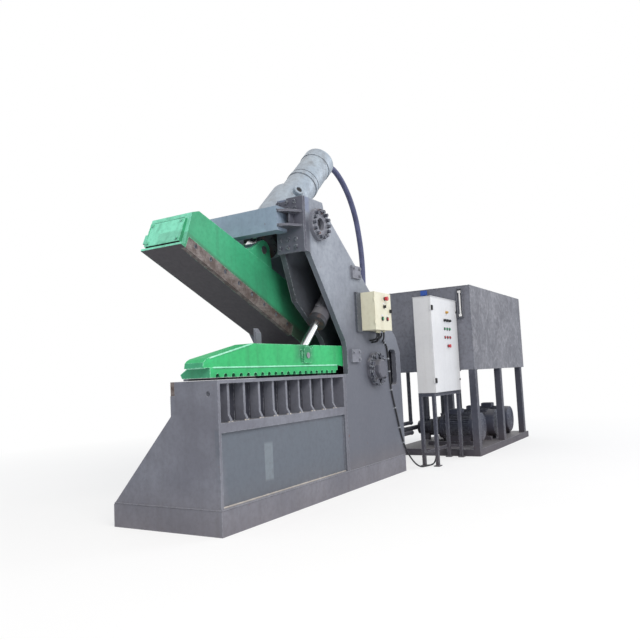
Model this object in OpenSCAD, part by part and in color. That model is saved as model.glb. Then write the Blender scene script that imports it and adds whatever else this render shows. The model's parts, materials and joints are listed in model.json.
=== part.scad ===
// Alligator shear with its hydraulic power pack and controls, in millimetres.
// X runs from the mouth (-X) to the power pack (+X), Y from the operator's side to the far side.
// The origin is on the floor in the shear plane, straight below the jaw pivot.

/* [Lower frame] */
// Distance from the jaw pivot forward to the front plate
mouth_reach = 2930; // [2900:5:2990]
// Distance from the jaw pivot back to the rear plate
tail_reach = 775; // [750:5:840]
// Height of the lower jaw beam's top plate
frame_h = 1280; // [1260:5:1290]
// Width of the lower jaw beam, operator's side to shear plane
beam_w = 530; // [500:10:560]
// How far the foot reaches past the shear plane
foot_w = 730; // [700:10:780]
// Height of the plinth under the uprights
plinth_h = 215; // [180:5:250]
// Thickness of the welded frame plates
wall_t = 40; // [30:5:45]
// Height where the far wall turns into the scrap chute
chute_top = 985; // [950:5:1020]
// Depth of the ribbed bay in the operator's side
bay_depth = 130; // [100:5:140]
// Height of the ribbed bay's floor
bay_bottom = 920; // [890:5:950]
// Number of ribs in the bay
rib_count = 9; // [7:1:9]
// Spacing of the ribs
rib_pitch = 221; // [210:1:226]
// Thickness of a rib
rib_t = 28; // [20:1:36]

/* [Uprights] */
// Height of the operator's side upright
upright_h = 3160; // [3120:10:3200]
// Height of the far upright
far_upright_h = 3080; // [3075:5:3120]
// Distance from the pivot forward to the crown's front face
crown_reach = 1432; // [1425:1:1445]
// Distance from the pivot forward to the throat of the uprights
throat_reach = 662; // [630:5:680]
// Thickness of the operator's side outer plate
near_plate_t = 60; // [50:5:65]
// Thickness of the operator's side inner plate
inner_plate_t = 60; // [50:5:65]
// Width of the cavity between those two plates
cavity_w = 220; // [216:1:226]
// Thickness of the far upright's plate
far_plate_t = 60; // [50:5:80]
// Distance from the shear plane to the far upright
far_gap = 660; // [640:5:680]
// Height of the tie beam's underside
tie_bottom = 2795; // [2790:5:2830]
// Height of the tie beam
tie_h = 255; // [230:5:265]
// Depth of the tie beam, front to back
tie_d = 153; // [145:2:160]

/* [Main pivot] */
// Height of the jaw pivot
pivot_h = 1326; // [1320:1:1330]
// Diameter of the main pin
pin_d = 240; // [220:5:260]
// Diameter of the bolted caps on the main pin
cap_d = 420; // [400:5:440]
// Thickness of the bolted caps
cap_t = 45; // [35:5:55]
// Diameter of the trunnion caps
trunnion_cap_d = 352; // [340:2:370]

/* [Upper jaw] */
// Angle at which the jaw stands open
jaw_open = 24; // [23.5:0.1:24.5]
// Width of the jaw
jaw_w = 512; // [480:4:560]
// Length of the jaw, pivot to front
jaw_reach = 2946; // [2940:2:2980]
// Height of the jaw's front plate
jaw_front_h = 365; // [340:5:390]
// Height of the jaw over the front shoulder
jaw_shoulder_h = 429; // [420:3:445]
// Height of the jaw at the uprights
jaw_back_h = 546; // [530:2:560]
// Outer diameter of the jaw's hub
hub_d = 600; // [560:10:620]
// Diameter of the hub's side bosses
boss_d = 460; // [420:10:480]
// Thickness of the jaw's plates
jaw_plate_t = 40; // [30:5:45]
// Depth of the jaw's underside below the pivot
bite = 10; // [4:1:16]

/* [Blades] */
// Number of blades in each row
blade_count = 4; // [3:1:4]
// Pitch of the blades along the jaw
blade_len = 465; // [450:1:466]
// Height of a blade
blade_h = 120; // [110:2:126]
// Thickness of a blade
blade_t = 50; // [45:1:55]
// Gap between the upper and lower blades
blade_gap = 1; // [0.6:0.1:1.6]
// Diameter of the blade bolts
blade_bolt_d = 28; // [24:1:30]

/* [Main cylinder] */
// Distance of the cylinder's trunnion ahead of the pivot
trunnion_reach = 1185; // [1180:1:1190]
// Height of the cylinder's trunnion
trunnion_h = 2890; // [2885:1:2894]
// Distance of the cylinder past the shear plane
cyl_y = 128; // [126:1:132]
// Outer diameter of the cylinder's tube
tube_d = 392; // [380:2:400]
// Bore of the cylinder
bore_d = 320; // [300:5:330]
// Diameter of the piston rod
rod_d = 220; // [200:2:224]
// Length from the trunnion to the end of the cap
cyl_len = 1670; // [1655:5:1720]
// Length of the end cap
cyl_cap_l = 150; // [130:2:156]
// Diameter of the trunnion collar
collar_d = 512; // [490:2:516]
// Length of the collar above the trunnion
collar_l = 690; // [660:5:740]
// Diameter of the trunnions
trunnion_d = 160; // [150:2:170]
// Distance from the pivot to the rod pin along the jaw
rod_pin_u = 1850; // [1845:1:1855]
// Height of the rod pin above the jaw's pivot line
rod_pin_v = 636; // [633:1:640]
// Diameter of the rod pin
rod_pin_d = 90; // [80:2:96]
// Radius of the rod's eye and of the jaw's ears
eye_r = 105; // [100:1:108]
// Width of the rod's eye
eye_w = 150; // [140:2:154]
// Thickness of an ear on the jaw
ear_t = 45; // [38:1:46]

/* [Hold-down arm] */
// Thickness of the arm from side to side
arm_w = 204; // [196:2:210]
// Length of the arm, pivot to nose
arm_reach = 2536; // [2500:4:2560]
// Height of the arm's flat back above the bed
arm_rise = 320; // [300:5:340]
// Distance of the arm's pivot ahead of the main pivot
arm_pivot_x = 492; // [488:1:500]
// Height of the arm's pivot above the bed
arm_pivot_rise = 205; // [195:1:215]
// Diameter of the arm's pivot pin
arm_pin_d = 90; // [80:2:100]
// Height of the toothed grip bar
grip_h = 82; // [70:2:90]
// Width of the toothed grip bar
grip_w = 332; // [300:4:344]
// Number of notches in the grip bar
notch_count = 20; // [16:1:20]
// Spacing of the notches
notch_pitch = 107.5; // [100:0.5:108]
// Diameter of a notch
notch_d = 48; // [40:2:56]

/* [Hold-down cylinder] */
// Distance of the cylinder's top pin ahead of the main pivot
hold_pin_x = 378; // [374:1:384]
// Height of the cylinder's top pin
hold_pin_h = 2462; // [2454:1:2466]
// Diameter of the hold-down cylinder's pins
hold_pin_d = 60; // [56:1:64]
// Diameter of the hold-down cylinder's tube
hold_tube_d = 200; // [190:2:210]
// Diameter of the hold-down rod
hold_rod_d = 90; // [80:2:94]
// Length from the top pin to the end of the gland
hold_len = 894; // [870:2:910]
// Distance of the rod's lower pin ahead of the arm's pivot
hold_eye_x = 925; // [920:1:935]
// Height of the rod's lower pin above the arm's pivot
hold_eye_z = 6; // [0:1:14]

/* [Pendant box] */
// Width of the pendant box
pendant_w = 446; // [436:2:456]
// Height of the pendant box
pendant_h = 446; // [430:2:460]
// Depth of the pendant box with its door
pendant_d = 176; // [166:2:190]
// Left side of the pendant box, measured from the pivot
pendant_x = -315; // [-325:1:-300]
// Height of the pendant box's underside
pendant_z = 1779; // [1774:1:1790]
// Thickness of the stand-off plate behind it
standoff_t = 30; // [20:2:40]

/* [Cabinet] */
// Width of the electrical cabinet
cabinet_w = 1010; // [980:5:1015]
// Depth of the electrical cabinet with its door
cabinet_d = 256; // [240:2:280]
// Height of the electrical cabinet
cabinet_h = 1305; // [1260:5:1340]
// Height of the cabinet's underside
cabinet_z = 975; // [950:5:1000]
// Distance of the cabinet's door ahead of the shear plane
cabinet_front = 832; // [820:2:850]
// Thickness of the sheet in the cabinet and the pendant box
sheet_t = 4; // [3:0.5:5]

/* [Power pack] */
// Distance from the pivot back to the oil tank
tank_x = 2264; // [2260:2:2300]
// Length of the oil tank
tank_l = 2852; // [2800:4:2900]
// Width of the oil tank
tank_w = 1400; // [1350:10:1450]
// Distance of the tank's near side ahead of the shear plane
tank_front = 1048; // [1040:2:1060]
// Height of the tank's underside
tank_z = 1264; // [1240:4:1290]
// Height of the tank
tank_h = 1246; // [1200:2:1300]
// Thickness of the tank's plates
tank_t = 8; // [6:1:12]
// Width of the tank stand's square tubes
leg_w = 100; // [80:5:110]
// Distance of the last leg from the tank's far end
leg_inset = 172; // [120:4:220]
// Diameter of a motor
motor_d = 420; // [380:5:440]
// Length of a motor
motor_l = 640; // [600:5:660]
// Diameter of a pump
pump_d = 260; // [220:5:280]
// Spacing of the motor and pump sets
set_pitch = 820; // [780:5:840]
// Diameter of the pressure and return pipes
pipe_d = 60; // [50:2:70]

/* [Hidden] */
$fn = 64;
fit = 0.05;
seat = 0.3;
bolt_play = 0.5;
sets = 3;
near_face = -beam_w;
near_in = near_face + near_plate_t;
inner_face = near_in + cavity_w;
gap_face = inner_face + inner_plate_t;
far_face = far_gap + far_plate_t;
bulkhead_x = -throat_reach - 78;
bay_top = frame_h - 30;
arm_top = frame_h + arm_rise;
arm_pivot_h = frame_h + arm_pivot_rise;
ribs_x = -mouth_reach + 166;
chute_foot = plinth_h - 15;
crown_foot = 2578;
crown_w = 376;
shoulder_z = 1536;
slope_foot = [tail_reach - 91, 1718];
slope_head = [-crown_reach + crown_w + 22, upright_h - 70];
far_slope_head = [slope_head[0] + 20, far_upright_h - 30];
mid_y = (near_in + inner_face) / 2;

// Jaw frame: u runs from the pivot to the front, v across it; jaw_at gives the open place
function jaw_at(u, v) = [-u * cos(jaw_open) + v * sin(jaw_open),
    pivot_h + u * sin(jaw_open) + v * cos(jaw_open)];
blade_front = jaw_reach - 21;
blade_bolt_v = blade_h - bite - 38;
low_bolt_z = frame_h - blade_h + 26;
nut_face = 152;
jaw_near = blade_gap / 2;
jaw_far = jaw_near + jaw_w;
jaw_shoulder_u = jaw_reach - 53;
jaw_back_u = jaw_reach - 1635;

// Main cylinder frame: its Z axis runs from the rod pin up through the trunnion
rod_pin = jaw_at(rod_pin_u, rod_pin_v);
cyl_dx = -trunnion_reach - rod_pin[0];
cyl_dz = trunnion_h - rod_pin[1];
cyl_angle = atan2(cyl_dz, cyl_dx);
rod_out = norm([cyl_dx, cyl_dz]);
head_l = 110;
gland_l = 90;
eye_play = 14;
piston_l = 150;
piston_z = cyl_len - cyl_cap_l - 200;
cap_z = cyl_len - cyl_cap_l;
port_r = 120;
port_tilt = atan2(port_r, cyl_len + 30);
port_out = norm([port_r, cyl_len + 30]);
port_boss_z = collar_l - 90;
port_boss_turn = 35;
tie_back = -crown_reach - 63;
tie_x = tie_back - tie_d;

// Hold-down cylinder frame: its Z axis runs from the top pin down to the arm's pin
hold_eye = [-arm_pivot_x - hold_eye_x, arm_pivot_h + hold_eye_z];
hold_dx = -hold_pin_x - hold_eye[0];
hold_dz = hold_pin_h - hold_eye[1];
hold_angle = atan2(hold_dz, hold_dx);
hold_out = norm([hold_dx, hold_dz]);
hold_bore_d = hold_tube_d - 50;
hold_gland_l = 60;
hold_play = 10;
arm_wall = 40;
hold_eye_r = 72;
hold_eye_w = arm_w - 2 * arm_wall - 14;
hold_top_r = 66;
hold_piston_z = hold_len - 200;
arm_y = near_in + (cavity_w - arm_w) / 2;
arm_nose = -arm_pivot_x - arm_reach;
arm_foot = frame_h + 22;
arm_back = arm_foot + grip_h;
veer_x = -arm_pivot_x - 823;
notch_x = arm_nose + 188;
grip_front = arm_nose + 91;
grip_len = 2157;

standoff_x = pendant_x - 107;
pendant_back = near_face - standoff_t;
pendant_front = pendant_back - pendant_d;
door_t = 18;
pendant_door_y = pendant_front + door_t;
estop_at = [pendant_x + 272, pendant_z + 376];
selector_at = [pendant_x + 248, pendant_z + 280];
start_at = [pendant_x + 190, pendant_z + 134];
stop_at = [pendant_x + 322, pendant_z + 136];
latch_at = [pendant_x + pendant_w - 44, pendant_z + 232];
slot_box = [slope_foot[0] - 262, 222, 1117, 1568];
slot_r = 62;

cabinet_gap = 42;
cabinet_x = tank_x - cabinet_gap - cabinet_w;
cabinet_door_y = -cabinet_front + 20;
cabinet_back = -cabinet_front + cabinet_d;
stand_w = 45;
cab_cols = [cabinet_x + 478, cabinet_x + 578, cabinet_x + 678];
cab_rows = [cabinet_z + 877, cabinet_z + 757];
lamp_row = cabinet_z + 997;
power_lamp_z = cabinet_z + 1115;
cab_estop_at = [cabinet_x + 578, cabinet_z + 635];
lock_x = cabinet_x + cabinet_w - 37;
lock_zs = [cabinet_z + 154, cabinet_z + 1138];

tank_y = -tank_front;
leg_pitch = (tank_l - leg_w - leg_inset) / 2;
deck_z = 100;
motor_y = tank_y + 160;
motor_z = deck_z + 60 + motor_d / 2;
bell_l = 150;
pump_y = motor_y + motor_l + bell_l;
pump_l = 240;
set_x = tank_x + 652;
shaft_d = 50;
header_y = pump_y + pump_l + 50;
header_z = motor_z;
feed_y = cyl_y - 60;
return_y = cyl_y + 60;
feed_z = 330;
return_z = 460;
manifold_x = tail_reach;
manifold_z = 1350;
manifold_s = [200, 200, 150];
drop_x = tail_reach + 100;
return_x = tank_x + 400;

// Main hose from the cylinder's cap to the rear manifold
hose_d = 76;
hose_route = [[139, 128, 3964.2], [176, 128, 3994.2], [216, 128, 4018], [266, 128, 4036],
    [320, 128, 4045], [378, 128, 4044], [440, 128, 4032], [510, 128, 4006], [590, 128, 3963],
    [670, 128, 3909], [748, 128, 3842], [822, 128, 3764], [886, 128, 3680], [943, 128, 3590],
    [991, 128, 3495], [1030, 128, 3395], [1062, 128, 3283], [1090, 128, 3165],
    [1112, 128, 3045], [1126, 128, 2920], [1132, 128, 2795], [1131, 128, 2670],
    [1124, 128, 2545], [1110, 128, 2420], [1089, 128, 2295], [1062, 128, 2170],
    [1030, 128, 2045], [992, 128, 1925], [949, 128, 1813], [907, 128, 1715], [883, 128, 1638],
    [875, 128, 1582], [875, 128, 1535.5]];
// Control cable from the pendant box down the upright, over the floor, up to the cabinet
cable_d = 20;
cable_route = [[95, -640, 1765.5], [95, -640, 1738], [104, -633, 1710], [124, -618, 1688],
    [156, -596, 1676], [204, -568, 1670], [255, -549, 1664], [303, -542, 1648],
    [342, -542, 1622], [366, -542, 1578], [380, -542, 1520], [389, -542, 1450],
    [396, -542, 1370], [402, -542, 1290], [408, -542, 1210], [416, -542, 1130],
    [430, -542, 1060], [450, -542, 990], [478, -542, 915], [512, -542, 830],
    [542, -542, 750], [574, -542, 665], [610, -542, 575], [652, -542, 479],
    [706, -543, 375], [762, -546, 282], [824, -553, 205], [885, -563, 140],
    [942, -581, 82], [998, -601, 40], [1060, -624, 16], [1140, -649, 12], [1220, -668, 12],
    [1290, -681, 14], [1345, -692, 30], [1382, -700, 72], [1400, -704, 140],
    [1404, -705, 400], [1404, -705, 680], [1404, -705, 941]];

// An outline in X and Z, made into a plate from y0 to y1
module slab(y0, y1) {
    translate([0, y1, 0]) rotate([90, 0, 0]) linear_extrude(y1 - y0) children();
}

// An outline in Y and Z, run along X from x0 to x1
module bar(x0, x1) {
    translate([x0, 0, 0]) rotate([90, 0, 90]) linear_extrude(x1 - x0) children();
}

// A round along Y
module round_y(x, z, d, y0, y1) {
    translate([x, y1, z]) rotate([90, 0, 0]) cylinder(d = d, h = y1 - y0);
}

// A box between two corners
module box(a, b) {
    translate(a) cube(b - a);
}

// A square tube standing from z0 to z1
module post(x, y, w, z0, z1) {
    difference() {
        box([x - w / 2, y - w / 2, z0], [x + w / 2, y + w / 2, z1]);
        box([x - w / 2 + 6, y - w / 2 + 6, z0 + 10], [x + w / 2 - 6, y + w / 2 - 6, z1 - 10]);
    }
}

// A hexagon bolt head on a face whose normal is -Y or +Y, with its washer
module head_y(x, z, y, dir, af, h) {
    translate([x, y, z]) rotate([-90 * dir, 0, 0]) {
        cylinder(d = af * 1.35, h = 4);
        rotate([0, 0, 15]) cylinder(d = af / cos(30), h = h, $fn = 6);
    }
}

module in_jaw() {
    translate([0, 0, pivot_h]) rotate([0, jaw_open, 0]) children();
}

module in_cylinder() {
    translate([-trunnion_reach, cyl_y, trunnion_h]) rotate([0, 90 - cyl_angle, 0]) children();
}

module in_hold() {
    translate([-hold_pin_x, mid_y, hold_pin_h]) rotate([0, 270 - hold_angle, 0]) children();
}

module cord(route, d, sides) {
    n = len(route);
    function dir(i) = let(v = route[min(i + 1, n - 1)] - route[max(i - 1, 0)]) v / norm(v);
    function side(i) = let(s = cross(dir(i), [0.12, 1, 0.05])) s / norm(s);
    points = [for (i = [0:n - 1]) for (k = [0:sides - 1])
        let(a = 360 * k / sides, s = side(i), t = cross(s, dir(i)))
        route[i] + d / 2 * (cos(a) * s + sin(a) * t)];
    walls = [for (i = [0:n - 2]) for (k = [0:sides - 1])
        let(p = i * sides, q = (k + 1) % sides)
        [p + k, p + q, p + sides + q, p + sides + k]];
    ends = [[for (k = [sides - 1:-1:0]) k], [for (k = [0:sides - 1]) (n - 1) * sides + k]];
    polyhedron(points, concat(walls, ends));
}

module section_outline() {
    polygon([[near_face, 0], [foot_w, 0], [foot_w, chute_foot], [0, chute_top],
        [0, frame_h], [near_face, frame_h]]);
}

module section_hollow() {
    polygon([[near_face + wall_t, wall_t], [foot_w - wall_t, wall_t],
        [foot_w - wall_t, chute_foot - wall_t / 2], [-wall_t * 1.4, chute_top - 5],
        [-130, chute_top + 65], [-130, bay_top - wall_t],
        [near_face + bay_depth + wall_t, bay_top - wall_t],
        [near_face + bay_depth + wall_t, bay_bottom - 60], [near_face + wall_t, bay_bottom - 60]]);
}

module rib() {
    polygon([[near_face + bay_depth + 1, bay_bottom - 1], [near_face, bay_bottom - 1],
        [near_face, bay_bottom + 22], [near_face + 24, bay_bottom + 62],
        [near_face + 24, bay_top + 1], [near_face + bay_depth + 1, bay_top + 1]]);
}

module base_frame() {
    color("slategray") {
        difference() {
            bar(-mouth_reach, bulkhead_x) section_outline();
            bar(-mouth_reach + 30, bulkhead_x - wall_t) section_hollow();
            box([-mouth_reach + 30, near_face - 1, bay_bottom],
                [bulkhead_x - 50, near_face + bay_depth, bay_top]);
            box([-mouth_reach + 30, near_face - 1, plinth_h + 10],
                [bulkhead_x - 50, near_face + 25, bay_bottom - 80]);
            box([-mouth_reach - 1, -blade_t - jaw_near, frame_h - blade_h],
                [-blade_front + blade_count * blade_len, 1, frame_h + 1]);
            translate([-mouth_reach - 1, near_face + 106, frame_h - 112])
                rotate([0, 90, 0]) cylinder(d = 45, h = 40);
            for (i = [0:2 * blade_count - 1])
                round_y(-blade_front + (i + 0.5) * blade_len / 2, low_bolt_z,
                    blade_bolt_d + 2 * bolt_play, -140, 0);
        }
        for (i = [0:rib_count - 1])
            bar(ribs_x + i * rib_pitch - rib_t / 2, ribs_x + i * rib_pitch + rib_t / 2) rib();
        difference() {
            box([bulkhead_x, near_face, 0], [tail_reach, foot_w, plinth_h]);
            box([bulkhead_x + 1, near_face + wall_t, wall_t],
                [tail_reach - wall_t, foot_w - wall_t, plinth_h - wall_t]);
        }
        difference() {
            box([tail_reach - wall_t, gap_face, plinth_h], [tail_reach, far_gap, 1560]);
            for (y = [feed_y, return_y])
                translate([tail_reach - wall_t - 1, y, 700])
                    rotate([0, 90, 0]) cylinder(d = 30, h = wall_t + 2);
        }
        box([-1776, -99, frame_h], [-1694, -65, frame_h + 460]);
        bar(-1776, -1694) polygon([[-99, frame_h + 459], [-65, frame_h + 459], [-65, frame_h + 510]]);
    }
}

module near_outline() {
    polygon([[-crown_reach, upright_h], [-crown_reach, crown_foot], [-crown_reach + 68, crown_foot],
        [-throat_reach - 64, 1704], [-throat_reach - 24, 1650], [-throat_reach - 5, 1590],
        [-throat_reach, 1500], [-throat_reach, frame_h], [bulkhead_x, frame_h],
        [bulkhead_x, plinth_h], [tail_reach, plinth_h], [tail_reach, shoulder_z], slope_foot,
        slope_head, [slope_head[0] - 22, upright_h]]);
}

module near_hollow() {
    polygon([[-crown_reach - 1, upright_h - 40], [-crown_reach - 1, crown_foot - 400],
        [bulkhead_x - 600, frame_h], [bulkhead_x + wall_t, frame_h],
        [bulkhead_x + wall_t, plinth_h + wall_t], [tail_reach - wall_t, plinth_h + wall_t],
        [tail_reach - wall_t, shoulder_z - 12], slope_foot - [40, 42],
        slope_head - [26, 34], [slope_head[0] - 60, upright_h - 40]]);
}

module near_upright() {
    color("lightslategray") difference() {
        union() {
            slab(near_face, gap_face) near_outline();
            slab(inner_face, gap_face) polygon([[-crown_reach + 15, crown_foot + 1],
                [-crown_reach + 205, crown_foot - 490], [-throat_reach - 64, 1704],
                [-crown_reach + 69, crown_foot + 1]]);
        }
        slab(near_in, inner_face) near_hollow();
        round_y(0, pivot_h, pin_d + 2 * bolt_play, near_face - 1, gap_face + 1);
        round_y(-trunnion_reach, trunnion_h, trunnion_d + 2 * fit, near_face - 1, gap_face + 1);
        round_y(-arm_pivot_x, arm_pivot_h, arm_pin_d + 2 * bolt_play, near_face - 1, gap_face + 1);
        round_y(-hold_pin_x, hold_pin_h, hold_pin_d + 2 * bolt_play, near_face - 1, gap_face + 1);
        round_y(-hold_pin_x, hold_pin_h, 2 * hold_top_r + 16, near_in, inner_face);
        slab(near_face - 1, near_in + 1) {
            translate([slot_box[0], slot_box[2] + slot_r])
                square([slot_box[1], slot_box[3] - slot_box[2] - 2 * slot_r]);
            translate([slot_box[0] + slot_r, slot_box[2]])
                square([slot_box[1] - 2 * slot_r, slot_box[3] - slot_box[2]]);
            for (x = [slot_box[0] + slot_r, slot_box[0] + slot_box[1] - slot_r])
                for (z = [slot_box[2] + slot_r, slot_box[3] - slot_r])
                    translate([x, z]) circle(r = slot_r);
        }
    }
}

module far_upright() {
    color("lightslategray") {
        difference() {
            slab(far_gap, far_face) polygon([[-crown_reach, far_upright_h],
                [-crown_reach, crown_foot], [-crown_reach + 68, crown_foot],
                [-throat_reach - 64, 1704], [-throat_reach, 1500], [-throat_reach, 900],
                [bulkhead_x, plinth_h], [tail_reach, plinth_h], [tail_reach, shoulder_z],
                slope_foot, far_slope_head, [far_slope_head[0] - 30, far_upright_h]]);
            round_y(0, pivot_h, pin_d + 2 * bolt_play, far_gap - 1, far_face + 1);
            round_y(-trunnion_reach, trunnion_h, trunnion_d + 2 * fit, far_gap - 1, far_face + 1);
        }
    }
}

module cross_beam() {
    color("lightsteelblue") {
        difference() {
            box([tie_x, near_face + 206, tie_bottom], [tie_back, far_face, tie_bottom + tie_h]);
            box([tie_x + 25, near_face + 231, tie_bottom + 25],
                [tie_back - 25, far_face - 25, tie_bottom + tie_h - 25]);
        }
        for (y = [[near_face + 206, gap_face - 10], [far_gap, far_face]])
            box([tie_back - 1, y[0], tie_bottom], [-crown_reach, y[1], tie_bottom + tie_h]);
    }
}

module beam_flange() {
    flange_y = gap_face;
    color("slategray") {
        difference() {
            union() {
                box([-crown_reach - 30, near_face, crown_foot - 4], [-crown_reach,
                    near_face + 205.7, upright_h]);
                box([-crown_reach - 30, near_face + 205, crown_foot - 4], [-crown_reach, flange_y,
                    tie_bottom - seat]);
                box([-crown_reach - 30, near_face + 205, tie_bottom + tie_h + seat],
                    [-crown_reach, flange_y, upright_h - 30]);
            }
            for (b = flange_bolts())
                translate([-crown_reach - 31, b[0], b[1]]) rotate([0, 90, 0])
                    cylinder(d = 24 + 2 * bolt_play, h = 32);
        }
        for (z = [tie_bottom + 38, tie_bottom + 190]) translate([0, 0, z]) linear_extrude(25)
            polygon([[-crown_reach - 29, near_face + 205.7], [tie_x, near_face + 205.7],
                [tie_x, near_face + 180], [tie_x + 50, near_face + 110],
                [-crown_reach - 29, near_face + 20]]);
        box([-crown_reach - 110, near_face + 120, tie_bottom + 60],
            [-crown_reach - 29, near_face + 135, tie_bottom + 195]);
    }
}

function flange_bolts() = concat(
    [for (y = [100, 180]) [near_face + y, upright_h - 120]],
    [for (y = [100, 200, 300]) [near_face + y, upright_h - 46]],
    [for (z = [55, 140]) for (y = [100, 200, 300]) [near_face + y, crown_foot + z]]);

module frame_bolts() {
    color("dimgray") {
        for (b = flange_bolts()) translate([-crown_reach - 30, b[0], b[1]]) rotate([0, -90, 0]) {
            cylinder(d = 48, h = 4);
            rotate([0, 0, 10]) cylinder(d = 41, h = 20, $fn = 6);
            translate([0, 0, -30]) cylinder(d = 24, h = 31);
        }
        for (s = [[near_face - cap_t, -1], [far_face + cap_t, 1]]) {
            for (i = [0:7]) {
                a = 22.5 + 45 * i;
                head_y(162 * cos(a), pivot_h + 162 * sin(a), s[0], s[1], 60, 34);
            }
            for (i = [0:13]) {
                a = 360 * i / 14;
                head_y(-trunnion_reach + 142 * cos(a), trunnion_h + 142 * sin(a), s[0], s[1], 36, 40);
            }
        }
    }
}

module pivot_caps() {
    color("slategray") {
        for (s = [[near_face - cap_t, near_face, near_face - cap_t - 80, near_face - cap_t],
                [far_face, far_face + cap_t, far_face + cap_t, far_face + cap_t + 80]]) {
            round_y(0, pivot_h, cap_d, s[0], s[1]);
            round_y(0, pivot_h, 236, s[2], s[3]);
        }
    }
}

module trunnion_caps() {
    color("slategray") {
        for (s = [[near_face - cap_t, near_face], [far_face, far_face + cap_t]]) {
            difference() {
                round_y(-trunnion_reach, trunnion_h, trunnion_cap_d, s[0], s[1]);
                round_y(-trunnion_reach, trunnion_h, trunnion_d - 20, s[0] - 1, s[1] + 1);
            }
        }
    }
}

module main_pin() {
    color("silver") round_y(0, pivot_h, pin_d, near_face, far_face);
}

module keeper_pins() {
    color("silver") {
        round_y(-arm_pivot_x, arm_pivot_h, arm_pin_d, near_face, gap_face);
        round_y(-hold_pin_x, hold_pin_h, hold_pin_d, near_face, gap_face);
    }
}

module keeper_plates() {
    color("slategray") for (p = [[-arm_pivot_x, arm_pivot_h], [-hold_pin_x, hold_pin_h]]) {
        box([p[0] - 100, near_face - 30, p[1] - 74], [p[0] + 100, near_face, p[1] + 74]);
        for (c = [[-68, 44], [68, 44], [68, -40]])
            head_y(p[0] + c[0], p[1] + c[1], near_face - 30, -1, 30, 18);
    }
}

// One row of blades in closed jaw coordinates, with the bolt heads let into its cutting face
module blades(y0, y1, z0, bolt_z, cut0, cut1) {
    for (i = [0:blade_count - 1]) difference() {
        box([-blade_front + i * blade_len, y0, z0],
            [-blade_front + (i + 1) * blade_len - 1, y1, z0 + blade_h]);
        for (k = [0.25, 0.75]) {
            round_y(-blade_front + (i + k) * blade_len, bolt_z, blade_bolt_d + 2 * bolt_play,
                y0 - 1, y1 + 1);
            round_y(-blade_front + (i + k) * blade_len, bolt_z, 46, cut0, cut1);
        }
    }
}

module blade_bolts(bolt_z, y0, y1, head0, head1, socket, nut0, nut1) {
    for (i = [0:2 * blade_count - 1]) {
        x = -blade_front + (i + 0.5) * blade_len / 2;
        difference() {
            round_y(x, bolt_z, 44, head0, head1);
            round_y(x, bolt_z, 20, socket - 6, socket + 6);
        }
        round_y(x, bolt_z, blade_bolt_d, y0, y1);
        round_y(x, bolt_z, 46, nut0, nut1);
    }
}

module lower_blades() {
    color("dimgray") blades(-blade_t - jaw_near, -jaw_near, frame_h - blade_h,
        low_bolt_z, -jaw_near - 26, 1);
}

module lower_blade_bolts() {
    color("black") blade_bolts(low_bolt_z, -nut_face, -20, -jaw_near - 26, -6, -6,
        -nut_face, 22 - nut_face);
}

module upper_blades() {
    color("dimgray") in_jaw() blades(jaw_near, jaw_near + blade_t, -bite, blade_bolt_v,
        -1, jaw_near + 26);
}

module upper_blade_bolts() {
    color("black") in_jaw() blade_bolts(blade_bolt_v, 20, jaw_near + 128, 6, jaw_near + 26,
        6, jaw_near + 100, jaw_near + 128);
}

module jaw_outline() {
    r = hub_d / 2;
    polygon([[-jaw_reach, -bite], [-jaw_reach - 25, jaw_front_h - bite],
        [-jaw_shoulder_u, jaw_shoulder_h - bite], [-jaw_back_u, jaw_back_h - bite],
        [-r - 90, jaw_back_h - bite], [-r * 0.5, r * 0.866], [0, 0], [-r * 0.866, -r * 0.5],
        [-r - 600, -bite]]);
    circle(r = r);
}

module jaw_hollow(v0) {
    top = jaw_shoulder_h - bite - jaw_plate_t;
    polygon([[-jaw_reach + jaw_plate_t, v0], [-jaw_reach + jaw_plate_t, jaw_front_h - 90],
        [-jaw_shoulder_u + 20, top], [-jaw_back_u, jaw_back_h - bite - jaw_plate_t],
        [-hub_d / 2 - 160, jaw_back_h - 120], [-hub_d / 2 - 60, v0]]);
}

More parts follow.
